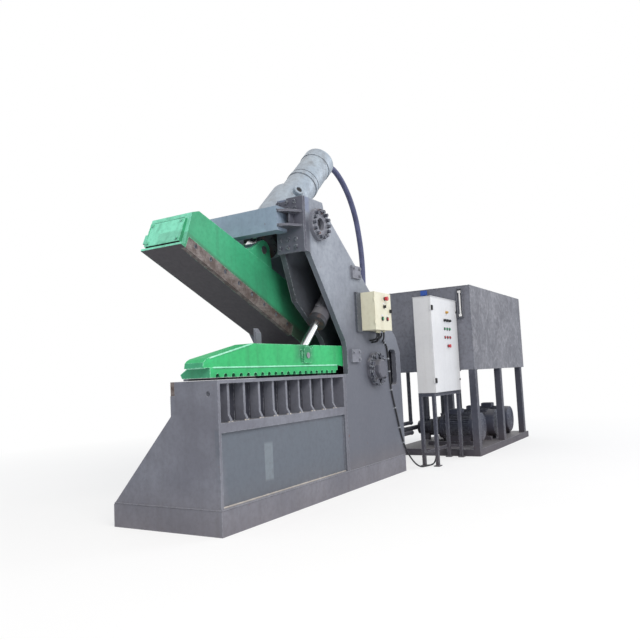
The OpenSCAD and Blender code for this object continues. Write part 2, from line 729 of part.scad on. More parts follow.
module upper_jaw() {
    ear0 = cyl_y - eye_w / 2 - 1 - ear_t;
    ear1 = cyl_y + eye_w / 2 + 1;
    color("mediumseagreen") in_jaw() {
        difference() {
            union() {
                slab(jaw_near, jaw_far) jaw_outline();
                round_y(0, 0, boss_d, gap_face + seat, far_gap - seat);
                for (y = [ear0, ear1]) slab(y, y + ear_t) {
                    polygon([[-rod_pin_u - 260, rod_pin_v - 206], [-rod_pin_u - 70, rod_pin_v + 78],
                        [-rod_pin_u + 70, rod_pin_v + 78], [-rod_pin_u + 260, rod_pin_v - 206]]);
                    translate([-rod_pin_u, rod_pin_v]) circle(r = eye_r);
                }
                slab(ear0 + 1, ear1 + 1) polygon([[-rod_pin_u - 258, rod_pin_v - 206],
                    [-rod_pin_u - 160, rod_pin_v - 58], [-rod_pin_u - 142, rod_pin_v - 76],
                    [-rod_pin_u - 225, rod_pin_v - 206]]);
                box([-jaw_reach - 50, jaw_near + 40, 30], [-jaw_reach + 10, jaw_far - 40,
                    jaw_front_h - 75]);
                box([-jaw_reach - 45, jaw_near, -bite], [-jaw_reach + 10, jaw_far, 12]);
                box([-jaw_reach - 22, jaw_far - 1, 90], [-jaw_reach + 80, jaw_far + 34, 190]);
            }
            slab(jaw_near + jaw_plate_t, jaw_far - jaw_plate_t) jaw_hollow(150);
            slab(jaw_near + 100, jaw_far - jaw_plate_t) jaw_hollow(30);
            box([-blade_front, -1, -bite - 1],
                [-blade_front + blade_count * blade_len, jaw_near + blade_t, blade_h - bite]);
            round_y(0, 0, pin_d + 2 * fit, gap_face - 1, far_gap + 1);
            round_y(-rod_pin_u, rod_pin_v, rod_pin_d + 2 * fit, ear0 - 1, ear1 + ear_t + 1);
            for (i = [0:2 * blade_count - 1])
                round_y(-blade_front + (i + 0.5) * blade_len / 2, blade_bolt_v,
                    blade_bolt_d + 2 * bolt_play, jaw_near, jaw_near + 110);
        }
    }
}

module rod_pin() {
    ear_out = eye_w / 2 + 1 + ear_t;
    color("silver") in_jaw() {
        round_y(-rod_pin_u, rod_pin_v, rod_pin_d, cyl_y - ear_out - 4, cyl_y + ear_out + 12);
        round_y(-rod_pin_u, rod_pin_v, rod_pin_d + 40, cyl_y + ear_out, cyl_y + ear_out + 12);
    }
}

module main_cylinder() {
    reach_near = cyl_y - near_face - 5;
    reach_far = far_face - cyl_y - 5;
    color("lightsteelblue") in_cylinder() difference() {
        union() {
            translate([0, 0, -head_l]) cylinder(d = collar_d, h = head_l + collar_l);
            cylinder(d = tube_d, h = cap_z + 1);
            translate([0, 0, cap_z - 460]) cylinder(d = tube_d + 14, h = 60);
            translate([0, 0, cap_z]) cylinder(d = tube_d + 16, h = cyl_cap_l);
            translate([0, reach_far, 0]) rotate([90, 0, 0])
                cylinder(d = trunnion_d, h = reach_near + reach_far);
            translate([0, 0, port_boss_z]) rotate([0, 0, -port_boss_turn]) rotate([90, 0, 0])
                cylinder(d = 114, h = collar_d / 2 + 38);
            rotate([0, port_tilt, 0]) translate([0, 0, port_out - 45]) cylinder(d = 90, h = 45);
            translate([0, 0, -head_l + 160]) cylinder(d = collar_d + 20, h = 40);
        }
        translate([0, 0, -head_l - 1]) cylinder(d = bore_d, h = head_l + cap_z - 20);
        translate([0, 0, port_boss_z]) rotate([0, 0, -port_boss_turn]) rotate([90, 0, 0])
            translate([0, 0, bore_d / 2 + 20]) cylinder(d = 50, h = collar_d);
    }
}

module main_gland() {
    color("gray") in_cylinder() difference() {
        union() {
            translate([0, 0, -head_l - gland_l]) cylinder(d = tube_d + 12, h = gland_l);
            translate([0, 0, -head_l - 1]) cylinder(d = bore_d - 2 * seat, h = 100);
            for (i = [0:11]) rotate([0, 0, 30 * i + 15]) translate([bore_d / 2 + 18, 0, 0])
                translate([0, 0, -head_l - gland_l - 14]) cylinder(d = 34, h = 16, $fn = 6);
        }
        translate([0, 0, -head_l - gland_l - 20]) cylinder(d = rod_d + 2 * fit, h = gland_l + 150);
    }
}

module main_hose() {
    color("darkslategray") cord(hose_route, hose_d, 12);
}

module main_rod() {
    color("silver") in_cylinder() {
        translate([0, 0, -rod_out + eye_r + 4]) cylinder(d = rod_d, h = rod_out + piston_z);
        translate([0, 0, piston_z]) cylinder(d = bore_d - 2 * fit, h = piston_l);
        difference() {
            union() {
                translate([0, eye_w / 2, -rod_out]) rotate([90, 0, 0])
                    cylinder(r = eye_r, h = eye_w);
                box([-eye_r, -eye_w / 2, -rod_out], [eye_r, eye_w / 2, -rod_out + eye_r + 5]);
            }
            translate([0, eye_w / 2 + 1, -rod_out]) rotate([90, 0, 0])
                cylinder(d = rod_pin_d + 2 * eye_play, h = eye_w + 2);
        }
    }
}

module arm_outline() {
    polygon([[arm_nose, arm_back], [arm_nose + 10, arm_back + 45], [arm_nose + 38, arm_back + 68],
        [arm_nose + 70, arm_back + 82], [arm_nose + 698, arm_top],
        [veer_x - 52, arm_top], [veer_x, arm_top - 42], [veer_x + 52, arm_top],
        [-arm_pivot_x - 60, arm_top], [-arm_pivot_x, arm_pivot_h + 130],
        [-arm_pivot_x, arm_pivot_h - 130], [grip_front + grip_len + 3, arm_back]]);
    translate([-arm_pivot_x, arm_pivot_h]) circle(r = 130);
}

module hold_arm() {
    inner0 = arm_y + arm_wall;
    inner1 = arm_y + arm_w - arm_wall;
    color("mediumseagreen") difference() {
        union() {
            slab(arm_y, arm_y + arm_w) arm_outline();
            slab(arm_y - 18, arm_y + 1) {
                translate([hold_eye[0] - 75, hold_eye[1] - 78]) square([150, 106]);
                translate([hold_eye[0], hold_eye[1] + 20]) circle(r = 75);
            }
        }
        slab(inner0, inner1) polygon([[hold_eye[0] - 130, arm_back + 30],
            [hold_eye[0] - 130, arm_top + 1], [hold_eye[0] + 270, arm_top + 1],
            [hold_eye[0] + 270, arm_top - 60], [hold_eye[0] + 160, arm_back + 30]]);
        slab(inner0, inner1) polygon([[arm_nose + 120, arm_back + 30],
            [arm_nose + 120, arm_back + 60], [arm_nose + 700, arm_top - 34],
            [hold_eye[0] - 170, arm_top - 30], [hold_eye[0] - 170, arm_back + 30]]);
        slab(arm_y - 1, arm_y + 12) translate([hold_eye[0] - 125, hold_eye[1] - 74])
            square([44, 130]);
        round_y(-arm_pivot_x, arm_pivot_h, arm_pin_d + 2 * fit, arm_y - 1, arm_y + arm_w + 1);
        round_y(hold_eye[0], hold_eye[1], hold_pin_d + 2 * fit, arm_y - 20, arm_y + arm_w + 1);
    }
}

module grip_bar() {
    far = arm_y + grip_w;
    color("seagreen") difference() {
        bar(grip_front, grip_front + grip_len) polygon([[arm_y, arm_foot], [far - 20, arm_foot],
            [far, arm_foot + 36], [far - 76, arm_back], [arm_y, arm_back]]);
        for (i = [0:notch_count - 1])
            round_y(notch_x + i * notch_pitch, arm_foot + 8, notch_d, arm_y - 1, far + 1);
    }
}

module arm_rod_pin() {
    color("silver") round_y(hold_eye[0], hold_eye[1], hold_pin_d, arm_y - 26, arm_y + arm_w);
}

module hold_cylinder() {
    color("slategray") in_hold() difference() {
        union() {
            translate([0, hold_eye_w / 2, 0]) rotate([90, 0, 0]) cylinder(r = hold_top_r, h = hold_eye_w);
            translate([-55, -hold_eye_w / 2, 0]) cube([110, hold_eye_w, 110]);
            translate([0, 0, 100]) cylinder(d = hold_tube_d, h = hold_len - hold_gland_l - 100);
            translate([0, 0, 150]) rotate([0, 90, 0]) cylinder(d = 60, h = hold_tube_d / 2 + 14);
            translate([0, 0, hold_len - 190]) rotate([0, 90, 0])
                cylinder(d = 60, h = hold_tube_d / 2 + 14);
        }
        translate([0, hold_eye_w, 0]) rotate([90, 0, 0])
            cylinder(d = hold_pin_d + 2 * fit, h = 2 * hold_eye_w);
        translate([0, 0, 130]) cylinder(d = hold_bore_d, h = hold_len);
    }
}

module hold_gland() {
    color("gray") in_hold() difference() {
        union() {
            translate([0, 0, hold_len - hold_gland_l]) cylinder(d = hold_tube_d + 14, h = hold_gland_l);
            translate([0, 0, hold_len - hold_gland_l - 50])
                cylinder(d = hold_bore_d - 2 * seat, h = 51);
        }
        translate([0, 0, hold_len - 140]) cylinder(d = hold_rod_d + 2 * fit, h = 150);
    }
}

module hold_rod() {
    color("silver") in_hold() {
        translate([0, 0, hold_piston_z - 60]) cylinder(d = hold_bore_d - 2 * fit, h = 60);
        translate([0, 0, hold_piston_z - 1])
            cylinder(d = hold_rod_d, h = hold_out - hold_piston_z - hold_eye_r + 8);
        difference() {
            translate([0, hold_eye_w / 2, hold_out]) rotate([90, 0, 0])
                cylinder(r = hold_eye_r, h = hold_eye_w);
            translate([0, hold_eye_w, hold_out]) rotate([90, 0, 0])
                cylinder(d = hold_pin_d + 2 * hold_play, h = 2 * hold_eye_w);
        }
    }
}

module pendant_bracket() {
    color("dimgray") difference() {
        box([standoff_x, pendant_back, pendant_z - 14], [pendant_x + pendant_w, near_face,
            pendant_z + pendant_h + 4]);
        box([standoff_x + 90, pendant_back - 1, pendant_z + 60],
            [pendant_x - 25, near_face + 1, pendant_z + pendant_h - 60]);
    }
}

module pendant_box() {
    color("beige") {
        difference() {
            box([pendant_x, pendant_door_y + seat, pendant_z],
                [pendant_x + pendant_w, pendant_back, pendant_z + pendant_h]);
            box([pendant_x + sheet_t, pendant_door_y - 1, pendant_z + sheet_t],
                [pendant_x + pendant_w - sheet_t, pendant_back - sheet_t,
                pendant_z + pendant_h - sheet_t]);
        }
        box([latch_at[0] + 20, pendant_door_y + seat, latch_at[1] - 30],
            [pendant_x + pendant_w - 1, pendant_door_y + 4, latch_at[1] + 30]);
        for (x = [-70, -20]) translate([x, -632, pendant_z - 26]) cylinder(d = 34, h = 27);
        translate([95, -640, pendant_z - 13]) cylinder(d = 36, h = 14);
    }
}

module pendant_cable() {
    color("black") cord(cable_route, cable_d, 8);
}

module button_hole(p, y0, y1, d) {
    round_y(p[0], p[1], d, y0, y1);
}

module pendant_door() {
    y0 = pendant_front;
    color("ivory") difference() {
        union() {
            difference() {
                box([pendant_x, y0, pendant_z], [pendant_x + pendant_w, pendant_door_y,
                    pendant_z + pendant_h]);
                box([pendant_x + 20, y0 + 6, pendant_z + 20],
                    [pendant_x + pendant_w - 20, pendant_door_y + 1, pendant_z + pendant_h - 20]);
            }
            for (p = [estop_at, selector_at, start_at, stop_at, latch_at])
                button_hole(p, y0 - 6, y0 + 7, 38);
            for (z = [70, pendant_h - 110]) translate([pendant_x - 5, y0 + 4, pendant_z + z])
                cylinder(d = 14, h = 40);
        }
        for (p = [estop_at, selector_at, start_at, stop_at, latch_at])
            button_hole(p, y0 - 7, y0 + 8, 22 + 2 * fit);
    }
}

// A push button: shaft through its bezel, with a collar behind the door that keeps it in
module button(p, y0, d, cap_h, travel) {
    round_y(p[0], p[1], 22, y0 - 6 - travel - 1, y0 + 12 + travel);
    round_y(p[0], p[1], d, y0 - 6 - travel - cap_h, y0 - 6 - travel);
    round_y(p[0], p[1], 30, y0 + 7 + seat, y0 + 12);
}

module pendant_latch() {
    p = latch_at;
    color("black") {
        round_y(p[0], p[1], 22, pendant_front - 9, pendant_door_y + 7);
        round_y(p[0], p[1], 46, pendant_front - 20, pendant_front - 6 - seat);
        box([p[0] - 7, pendant_front - 32, p[1] - 21], [p[0] + 7, pendant_front - 19, p[1] + 21]);
        box([p[0] - 9, pendant_door_y + 6, p[1] - 28], [p[0] + 9, pendant_door_y + 11, p[1] + 9]);
    }
}

module pendant_estop() {
    color("red") {
        button(estop_at, pendant_front, 30, 12, 5);
        round_y(estop_at[0], estop_at[1], 52, pendant_front - 46, pendant_front - 22);
    }
}

module pendant_selector() {
    p = selector_at;
    color("black") {
        round_y(p[0], p[1], 22, pendant_front - 9, pendant_front + 12);
        round_y(p[0], p[1], 34, pendant_front - 14, pendant_front - 6 - seat);
        round_y(p[0], p[1], 30, pendant_front + 7 + seat, pendant_front + 12);
        box([p[0] - 6, pendant_front - 30, p[1] - 17], [p[0] + 6, pendant_front - 13, p[1] + 17]);
    }
}

module start_button() {
    color("green") button(start_at, pendant_front, 30, 7, 4);
}

module stop_button() {
    color("red") button(stop_at, pendant_front, 30, 7, 4);
}

module cabinet_body() {
    x1 = cabinet_x + cabinet_w;
    z1 = cabinet_z + cabinet_h;
    color("whitesmoke") {
        difference() {
            box([cabinet_x, cabinet_door_y + seat, cabinet_z], [x1, cabinet_back, z1]);
            box([cabinet_x + sheet_t, cabinet_door_y - 1, cabinet_z + sheet_t],
                [x1 - sheet_t, cabinet_back - sheet_t, z1 - sheet_t]);
        }
        for (z = lock_zs) box([x1 - 18, cabinet_door_y + 22, z - 40],
            [x1 - sheet_t + 1, cabinet_door_y + 26, z + 40]);
        box([cabinet_x + 80, cabinet_back - 30, cabinet_z + 80],
            [x1 - 80, cabinet_back - 26, z1 - 80]);
        for (x = [cabinet_x + 120, x1 - 120]) for (z = [cabinet_z + 120, z1 - 120])
            round_y(x, z, 16, cabinet_back - 27, cabinet_back - sheet_t + 1);
        for (r = [0, 1, 2]) box([cabinet_x + 130, cabinet_back - 40, cabinet_z + 240 + 330 * r],
            [x1 - 130, cabinet_back - 29, cabinet_z + 275 + 330 * r]);
        for (r = [0, 1, 2]) for (c = [0:5]) box([cabinet_x + 160 + 120 * c, cabinet_back - 130,
            cabinet_z + 215 + 330 * r], [cabinet_x + 240 + 120 * c, cabinet_back - 39,
            cabinet_z + 305 + 330 * r]);
        translate([1404, -705, cabinet_z - 34]) cylinder(d = 32, h = 35);
    }
}

module cabinet_stand() {
    x0 = cabinet_x;
    x1 = tank_x;
    y0 = -cabinet_front + 22;
    w = stand_w;
    color("dimgray") {
        for (x = [x0 + w / 2, cabinet_x + cabinet_w - w / 2])
            for (y = [y0 + w / 2, cabinet_back - w / 2]) {
                post(x, y, w, 0, cabinet_z - 49);
                box([x - 55, y - 40, 0], [x + 55, y + 40, 12]);
            }
        difference() {
            box([x0, y0, cabinet_z - 50], [x1, cabinet_back, cabinet_z]);
            box([x0 + w, y0 + w, cabinet_z - 51], [x1 - w, cabinet_back - w, cabinet_z + 1]);
        }
        box([x0 + w - 1, cabinet_back - 12, 140], [cabinet_x + cabinet_w - w + 1, cabinet_back, 180]);
        for (x = [x0, cabinet_x + cabinet_w - 12])
            box([x, y0 + w - 1, 140], [x + 12, cabinet_back - w + 1, 180]);
    }
}

module cabinet_door() {
    y0 = -cabinet_front;
    x1 = cabinet_x + cabinet_w;
    spots = concat([for (x = cab_cols) for (z = cab_rows) [x, z]], [cab_estop_at],
        [for (z = lock_zs) [lock_x, z]]);
    color("white") difference() {
        union() {
            difference() {
                box([cabinet_x, y0, cabinet_z], [x1, cabinet_door_y, cabinet_z + cabinet_h]);
                box([cabinet_x + 16, y0 + 5, cabinet_z + 16],
                    [x1 - 16, cabinet_door_y + 1, cabinet_z + cabinet_h - 16]);
            }
            for (p = spots) button_hole(p, y0 - 6, y0 + 7, 34);
            for (x = cab_cols) round_y(x, lamp_row, 34, y0 - 20, y0 + 30);
            round_y(cab_cols[1], power_lamp_z, 34, y0 - 20, y0 + 30);
            for (z = [161, 1151]) translate([cabinet_x - 6, y0 + 8, cabinet_z + z - 32])
                cylinder(d = 18, h = 64);
        }
        for (p = spots) button_hole(p, y0 - 7, y0 + 8, 22 + 2 * fit);
    }
}

module cabinet_lock(z) {
    y0 = -cabinet_front;
    color("black") {
        round_y(lock_x, z, 22, y0 - 9, y0 + 30);
        round_y(lock_x, z, 32, y0 - 12, y0 - 6 - seat);
        box([lock_x - 3, y0 - 18, z - 12], [lock_x + 3, y0 - 11, z + 12]);
        box([lock_x - 10, cabinet_door_y + 28, z - 20], [lock_x + 10, cabinet_door_y + 34, z + 10]);
        round_y(lock_x, z, 22, y0 + 29, cabinet_door_y + 30);
    }
}

module cabinet_estop() {
    p = cab_estop_at;
    color("red") {
        button(p, -cabinet_front, 30, 12, 5);
        round_y(p[0], p[1], 48, -cabinet_front - 44, -cabinet_front - 22);
    }
}

module cabinet_button(col, row, shade) {
    color(shade) button([cab_cols[col], cab_rows[row]], -cabinet_front, 30, 7, 4);
}

module oil_tank() {
    x1 = tank_x + tank_l;
    y1 = tank_y + tank_w;
    z1 = tank_z + tank_h;
    color("slategray") {
        difference() {
            union() {
                box([tank_x, tank_y, tank_z], [x1, y1, z1]);
                for (i = [1:3]) box([tank_x + i * tank_l / 4 - 5, y1, tank_z + 10],
                    [tank_x + i * tank_l / 4 + 5, y1 + 18, z1 - 20]);
            }
            box([tank_x + tank_t, tank_y + tank_t, tank_z + tank_t],
                [x1 - tank_t, y1 - tank_t, z1 - tank_t]);
            for (i = [0:sets - 1]) translate([set_x + i * set_pitch, pump_y + 120, tank_z - 1])
                cylinder(d = 90 + 2 * bolt_play, h = tank_t + 2);
            translate([return_x, return_y, tank_z - 1])
                cylinder(d = pipe_d + 2 * bolt_play, h = tank_t + 2);
        }
        translate([tank_x + 500, tank_y + 1000, z1 - 1]) cylinder(d = 460, h = 16);
        translate([tank_x + 1300, tank_y + 1100, z1 - 1]) cylinder(d = 60, h = 70);
        translate([tank_x + 1300, tank_y + 1100, z1 + 60]) cylinder(d = 130, h = 80);
    }
}

module tank_stand() {
    x1 = tank_x + tank_l;
    y1 = tank_y + tank_w;
    w = leg_w;
    color("slategray") {
        for (i = [0:2]) for (y = [tank_y + w / 2, y1 - w / 2]) {
            post(tank_x + w / 2 + i * leg_pitch, y, w, 0, tank_z);
            box([tank_x + i * leg_pitch, y - w / 2, tank_z - 12],
                [tank_x + i * leg_pitch + w + 30, y + w / 2, tank_z]);
        }
        difference() {
            box([tank_x, tank_y, 0], [x1, y1, w]);
            box([tank_x + w, tank_y + w, -1], [x1 - w, y1 - w, w + 1]);
        }
        box([tank_x + w - 1, tank_y + w - 1, deck_z - 20], [x1 - w + 1, y1 - w + 1, deck_z]);
        for (i = [0:sets - 1]) for (s = [-1, 1])
            box([set_x + i * set_pitch + s * 140 - 40, motor_y + 60, deck_z - 1],
                [set_x + i * set_pitch + s * 140 + 40, pump_y + 40, deck_z + 60]);
    }
}

module sight_gauge() {
    y = tank_y + 154;
    color("silver") {
        for (z = [tank_z + 790, tank_z + 1140])
            box([tank_x - 38, y - 26, z], [tank_x, y + 26, z + 44]);
        translate([tank_x - 22, y, tank_z + 833]) cylinder(d = 26, h = 308);
        box([tank_x - 10, y - 34, tank_z + 775], [tank_x, y + 34, tank_z + 1200]);
    }
}

module level_switch() {
    y = tank_y + 694;
    color("royalblue") {
        translate([tank_x - 40, y, tank_z + 1188]) rotate([0, 90, 0]) cylinder(d = 50, h = 40);
        box([tank_x - 100, y - 42, tank_z + 1152], [tank_x - 39, y + 42, tank_z + 1224]);
    }
}

module motors() {
    color("firebrick") for (i = [0:sets - 1]) translate([set_x + i * set_pitch, 0, 0])
        difference() {
            union() {
                round_y(0, motor_z, motor_d, motor_y + 90, motor_y + motor_l - 40);
                round_y(0, motor_z, motor_d - 30, motor_y, motor_y + 91);
                round_y(0, motor_z, 350, motor_y + motor_l - 41, motor_y + motor_l);
                for (s = [-1, 1]) box([s * 140 - 45, motor_y + 140, deck_z + 60],
                    [s * 140 + 45, motor_y + 500, deck_z + 150]);
                box([-90, motor_y + 300, motor_z + motor_d / 2 - 20],
                    [90, motor_y + 480, motor_z + motor_d / 2 + 70]);
            }
            round_y(0, motor_z, shaft_d + 2 * fit, motor_y + motor_l - 120, motor_y + motor_l + 1);
        }
}

module bell_housings() {
    y0 = motor_y + motor_l;
    color("dimgray") for (i = [0:sets - 1]) translate([set_x + i * set_pitch, 0, 0])
        difference() {
            union() {
                round_y(0, motor_z, 240, y0, pump_y);
                round_y(0, motor_z, 340, y0, y0 + 20);
                round_y(0, motor_z, pump_d, pump_y - 20, pump_y);
            }
            round_y(0, motor_z, 190, y0 - 1, pump_y + 1);
            box([-200, y0 + 35, motor_z - 55], [200, pump_y - 35, motor_z + 55]);
        }
}

module pumps() {
    color("royalblue") for (i = [0:sets - 1]) translate([set_x + i * set_pitch, 0, 0])
        difference() {
            union() {
                round_y(0, motor_z, pump_d, pump_y, pump_y + 50);
                round_y(0, motor_z, pump_d - 50, pump_y + 49, pump_y + pump_l);
                translate([0, pump_y + 120, motor_z]) cylinder(d = 120, h = pump_d / 2 + 10);
            }
            round_y(0, motor_z, shaft_d + 2 * fit, pump_y - 1, pump_y + 60);
        }
}

module pump_shaft(i) {
    y0 = motor_y + motor_l;
    color("silver") translate([set_x + i * set_pitch, 0, 0]) {
        round_y(0, motor_z, shaft_d, y0 - 100, pump_y + 50);
        round_y(0, motor_z, 130, y0 + 20, y0 + 72);
        round_y(0, motor_z, 100, y0 + 71, y0 + 80);
        round_y(0, motor_z, 130, y0 + 79, pump_y - 20);
    }
}

module oil_pipes() {
    top = manifold_z;
    color("darkslategray") {
        // pressure line: header past the pumps, then forward and up to the manifold
        translate([drop_x - pipe_d / 2, feed_y, feed_z]) rotate([0, 90, 0])
            cylinder(d = pipe_d, h = tank_x + 160 - drop_x);
        translate([drop_x, feed_y, feed_z]) sphere(d = pipe_d + 14);
        translate([drop_x, feed_y, feed_z]) cylinder(d = pipe_d, h = top - feed_z);
        translate([tank_x + 130, feed_y, feed_z]) rotate([-90, 0, 0])
            cylinder(d = pipe_d, h = header_y - feed_y);
        translate([tank_x + 130, feed_y, feed_z]) sphere(d = pipe_d + 14);
        translate([tank_x + 130, header_y, feed_z]) cylinder(d = pipe_d, h = header_z - feed_z);
        translate([tank_x + 130, header_y, feed_z]) sphere(d = pipe_d + 14);
        translate([tank_x + 130, header_y, header_z]) sphere(d = pipe_d + 24);
        translate([tank_x + 130, header_y, header_z]) rotate([0, 90, 0])
            cylinder(d = pipe_d + 10, h = set_x + (sets - 1) * set_pitch - tank_x - 90);
        for (i = [0:sets - 1]) translate([set_x + i * set_pitch, 0, 0]) {
            round_y(0, header_z, pipe_d, pump_y + pump_l, header_y);
            round_y(0, header_z, 90, pump_y + pump_l, pump_y + pump_l + 24);
            translate([0, pump_y + 120, motor_z + pump_d / 2 + 10])
                cylinder(d = 90, h = tank_z + 20 - motor_z - pump_d / 2 - 10);
            translate([0, pump_y + 120, motor_z + pump_d / 2 + 10]) cylinder(d = 130, h = 24);
            translate([0, pump_y + 120, tank_z - 24]) cylinder(d = 130, h = 24);
        }
        // return line from the manifold to the tank
        translate([drop_x, return_y, return_z]) cylinder(d = pipe_d, h = top - return_z);
        translate([drop_x, return_y, return_z]) sphere(d = pipe_d + 14);
        translate([drop_x, return_y, return_z]) rotate([0, 90, 0])
            cylinder(d = pipe_d, h = return_x - drop_x);
        translate([return_x, return_y, return_z]) sphere(d = pipe_d + 14);
        translate([return_x, return_y, return_z])
            cylinder(d = pipe_d, h = tank_z + 20 - return_z);
        // clamps on the rear plate
        for (y = [feed_y, return_y]) {
            box([tail_reach, y - 45, 680], [drop_x, y + 45, 720]);
            translate([drop_x, y, 680]) cylinder(d = pipe_d + 24, h = 40);
        }
    }
}

module rear_manifold() {
    s = manifold_s;
    color("slategray") {
        box([manifold_x, cyl_y - s[1] / 2, manifold_z],
            [manifold_x + s[0], cyl_y + s[1] / 2, manifold_z + s[2]]);
        translate([875, 128, manifold_z + s[2] - 1]) cylinder(d = 90, h = 36);
        translate([manifold_x + s[0] - 1, cyl_y - 40, manifold_z + 75]) rotate([0, 90, 0])
            cylinder(d = 70, h = 90);
        translate([manifold_x + s[0] - 1, cyl_y + 50, manifold_z + 75]) rotate([0, 90, 0])
            cylinder(d = 50, h = 40);
    }
}

base_frame();
near_upright();
far_upright();
cross_beam();
beam_flange();
frame_bolts();
pivot_caps();
trunnion_caps();
main_pin();
keeper_pins();
keeper_plates();
lower_blades();
lower_blade_bolts();
pendant_bracket();
pendant_box();
pendant_cable();
rear_manifold();
oil_pipes();
oil_tank();
tank_stand();
sight_gauge();
level_switch();
motors();
bell_housings();
pumps();
cabinet_body();
cabinet_stand();
pump_shaft(0);  // pump_shaft_1
pump_shaft(1);  // pump_shaft_2
pump_shaft(2);  // pump_shaft_3
upper_jaw();
upper_blades();
upper_blade_bolts();
rod_pin();
main_cylinder();
main_gland();
main_hose();
main_rod();
hold_arm();
grip_bar();
arm_rod_pin();
hold_cylinder();
hold_gland();
hold_rod();
pendant_door();
pendant_latch();
pendant_estop();
pendant_selector();
start_button();
stop_button();
cabinet_door();
cabinet_lock(lock_zs[0]);  // cabinet_lock_1
cabinet_lock(lock_zs[1]);  // cabinet_lock_2
cabinet_estop();
cabinet_button(0, 0, "green");  // cabinet_start_1
cabinet_button(1, 0, "green");  // cabinet_start_2
cabinet_button(2, 0, "green");  // cabinet_start_3
cabinet_button(0, 1, "red");  // cabinet_stop_1
cabinet_button(1, 1, "red");  // cabinet_stop_2
cabinet_button(2, 1, "red");  // cabinet_stop_3
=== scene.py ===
import bmesh
import bpy
import json
import math
from mathutils import Matrix, Vector


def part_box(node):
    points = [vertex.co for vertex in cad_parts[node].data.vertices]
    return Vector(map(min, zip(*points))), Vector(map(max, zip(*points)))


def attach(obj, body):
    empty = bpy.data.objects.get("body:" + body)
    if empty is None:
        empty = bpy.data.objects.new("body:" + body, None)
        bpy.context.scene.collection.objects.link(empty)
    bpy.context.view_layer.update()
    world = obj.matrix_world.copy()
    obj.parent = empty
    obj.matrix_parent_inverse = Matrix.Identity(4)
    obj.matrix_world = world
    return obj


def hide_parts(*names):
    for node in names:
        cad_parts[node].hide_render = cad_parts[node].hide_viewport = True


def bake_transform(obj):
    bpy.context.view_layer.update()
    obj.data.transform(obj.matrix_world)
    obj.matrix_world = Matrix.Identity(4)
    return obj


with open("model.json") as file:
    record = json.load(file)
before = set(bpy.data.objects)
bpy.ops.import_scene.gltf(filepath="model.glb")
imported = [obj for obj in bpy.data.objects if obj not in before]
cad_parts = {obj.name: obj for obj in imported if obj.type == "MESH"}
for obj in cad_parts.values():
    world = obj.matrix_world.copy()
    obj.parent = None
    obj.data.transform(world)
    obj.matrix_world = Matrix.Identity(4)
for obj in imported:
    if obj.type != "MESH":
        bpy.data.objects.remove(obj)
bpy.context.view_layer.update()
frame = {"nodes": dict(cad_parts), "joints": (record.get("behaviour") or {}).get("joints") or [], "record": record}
nodes = frame["nodes"]
joints = {joint["name"]: Vector(joint["pos_m"]) for joint in frame["joints"]}
scene = bpy.context.scene
print("frame loaded:", len(nodes), "nodes")

# The camera stands off the mouth on the operator's side, at working height
cameraSet = {
    "place": (-7.166, -4.071, 1.270),
    "right": (0.51485, -0.85590, -0.04853),
    "up": (-0.04823, -0.08544, 0.99518),
    "back": (-0.85592, -0.51003, -0.08526),
    "lens": 36.94,
    "sensor": 36,
    "reach": 200,
}
cameraData = bpy.data.cameras.new("camera")
cameraData.lens = cameraSet["lens"]
cameraData.sensor_width = cameraSet["sensor"]
cameraData.clip_end = cameraSet["reach"]
camera = bpy.data.objects.new("camera", cameraData)
scene.collection.objects.link(camera)
turn = Matrix([cameraSet[axis] for axis in ("right", "up", "back")]).transposed()
camera.matrix_world = Matrix.Translation(cameraSet["place"]) @ turn.to_4x4()
scene.camera = camera
scene.view_settings.view_transform = "Standard"


# Meshes: a shape is drawn in a bmesh, then made into a piece that rides a body


def meshPiece(name, shape, material):
    bmesh.ops.remove_doubles(shape, verts=shape.verts, dist=1e-6)
    bmesh.ops.recalc_face_normals(shape, faces=shape.faces)
    mesh = bpy.data.meshes.new(name)
    shape.to_mesh(mesh)
    shape.free()
    mesh.materials.append(material)
    piece = bpy.data.objects.new(name, mesh)
    scene.collection.objects.link(piece)
    return piece


def settled(piece):  # what the modifiers make becomes the mesh itself
    bpy.context.view_layer.update()
    graph = bpy.context.evaluated_depsgraph_get()
    mesh = bpy.data.meshes.new_from_object(piece.evaluated_get(graph))
    piece.modifiers.clear()
    piece.data = mesh
    return piece


def seated(piece, body):
    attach(piece, body)
    return piece


def addPart(name, shape, body, slot, edge=0.0, finish=None):
    piece = meshPiece(name, shape, finishes[finish or slot])
    if edge:
        bevel = piece.modifiers.new("edges", "BEVEL")
        bevel.width = edge
        bevel.segments = 2
        bevel.limit_method = "ANGLE"
        bevel.angle_limit = math.radians(40)
        settled(piece)
    return seated(piece, body)


def addBlock(shape, low, high, put=Matrix()):
    size = [high[i] - low[i] for i in range(3)]
    middle = [(high[i] + low[i]) / 2 for i in range(3)]
    place = Matrix.Translation(middle) @ Matrix.Diagonal((*size, 1))
    bmesh.ops.create_cube(shape, size=1, matrix=put @ place)


def addWalls(shape, rings, capped=True):
    count = len(rings[0])
    for lower, upper in zip(rings, rings[1:]):
        for k in range(count):
            m = (k + 1) % count
            shape.faces.new((lower[k], lower[m], upper[m], upper[k]))
    if capped:
        shape.faces.new(rings[0])
        shape.faces.new(rings[-1])


def addSlab(shape, outline, y0, y1):
    addWalls(shape, [[shape.verts.new((x, y, z)) for x, z in outline] for y in (y0, y1)])


def turnedRings(shape, profile, place, axis, steps, phase=0.0):
    spin = Vector(axis).normalized().to_track_quat("Z", "Y").to_matrix().to_4x4()
    put = Matrix.Translation(place) @ spin
    angles = [math.tau * k / steps + phase for k in range(steps)]
    return [[shape.verts.new(put @ Vector((radius * math.cos(angle), radius * math.sin(angle),
                                           height))) for angle in angles]
            for radius, height in profile]


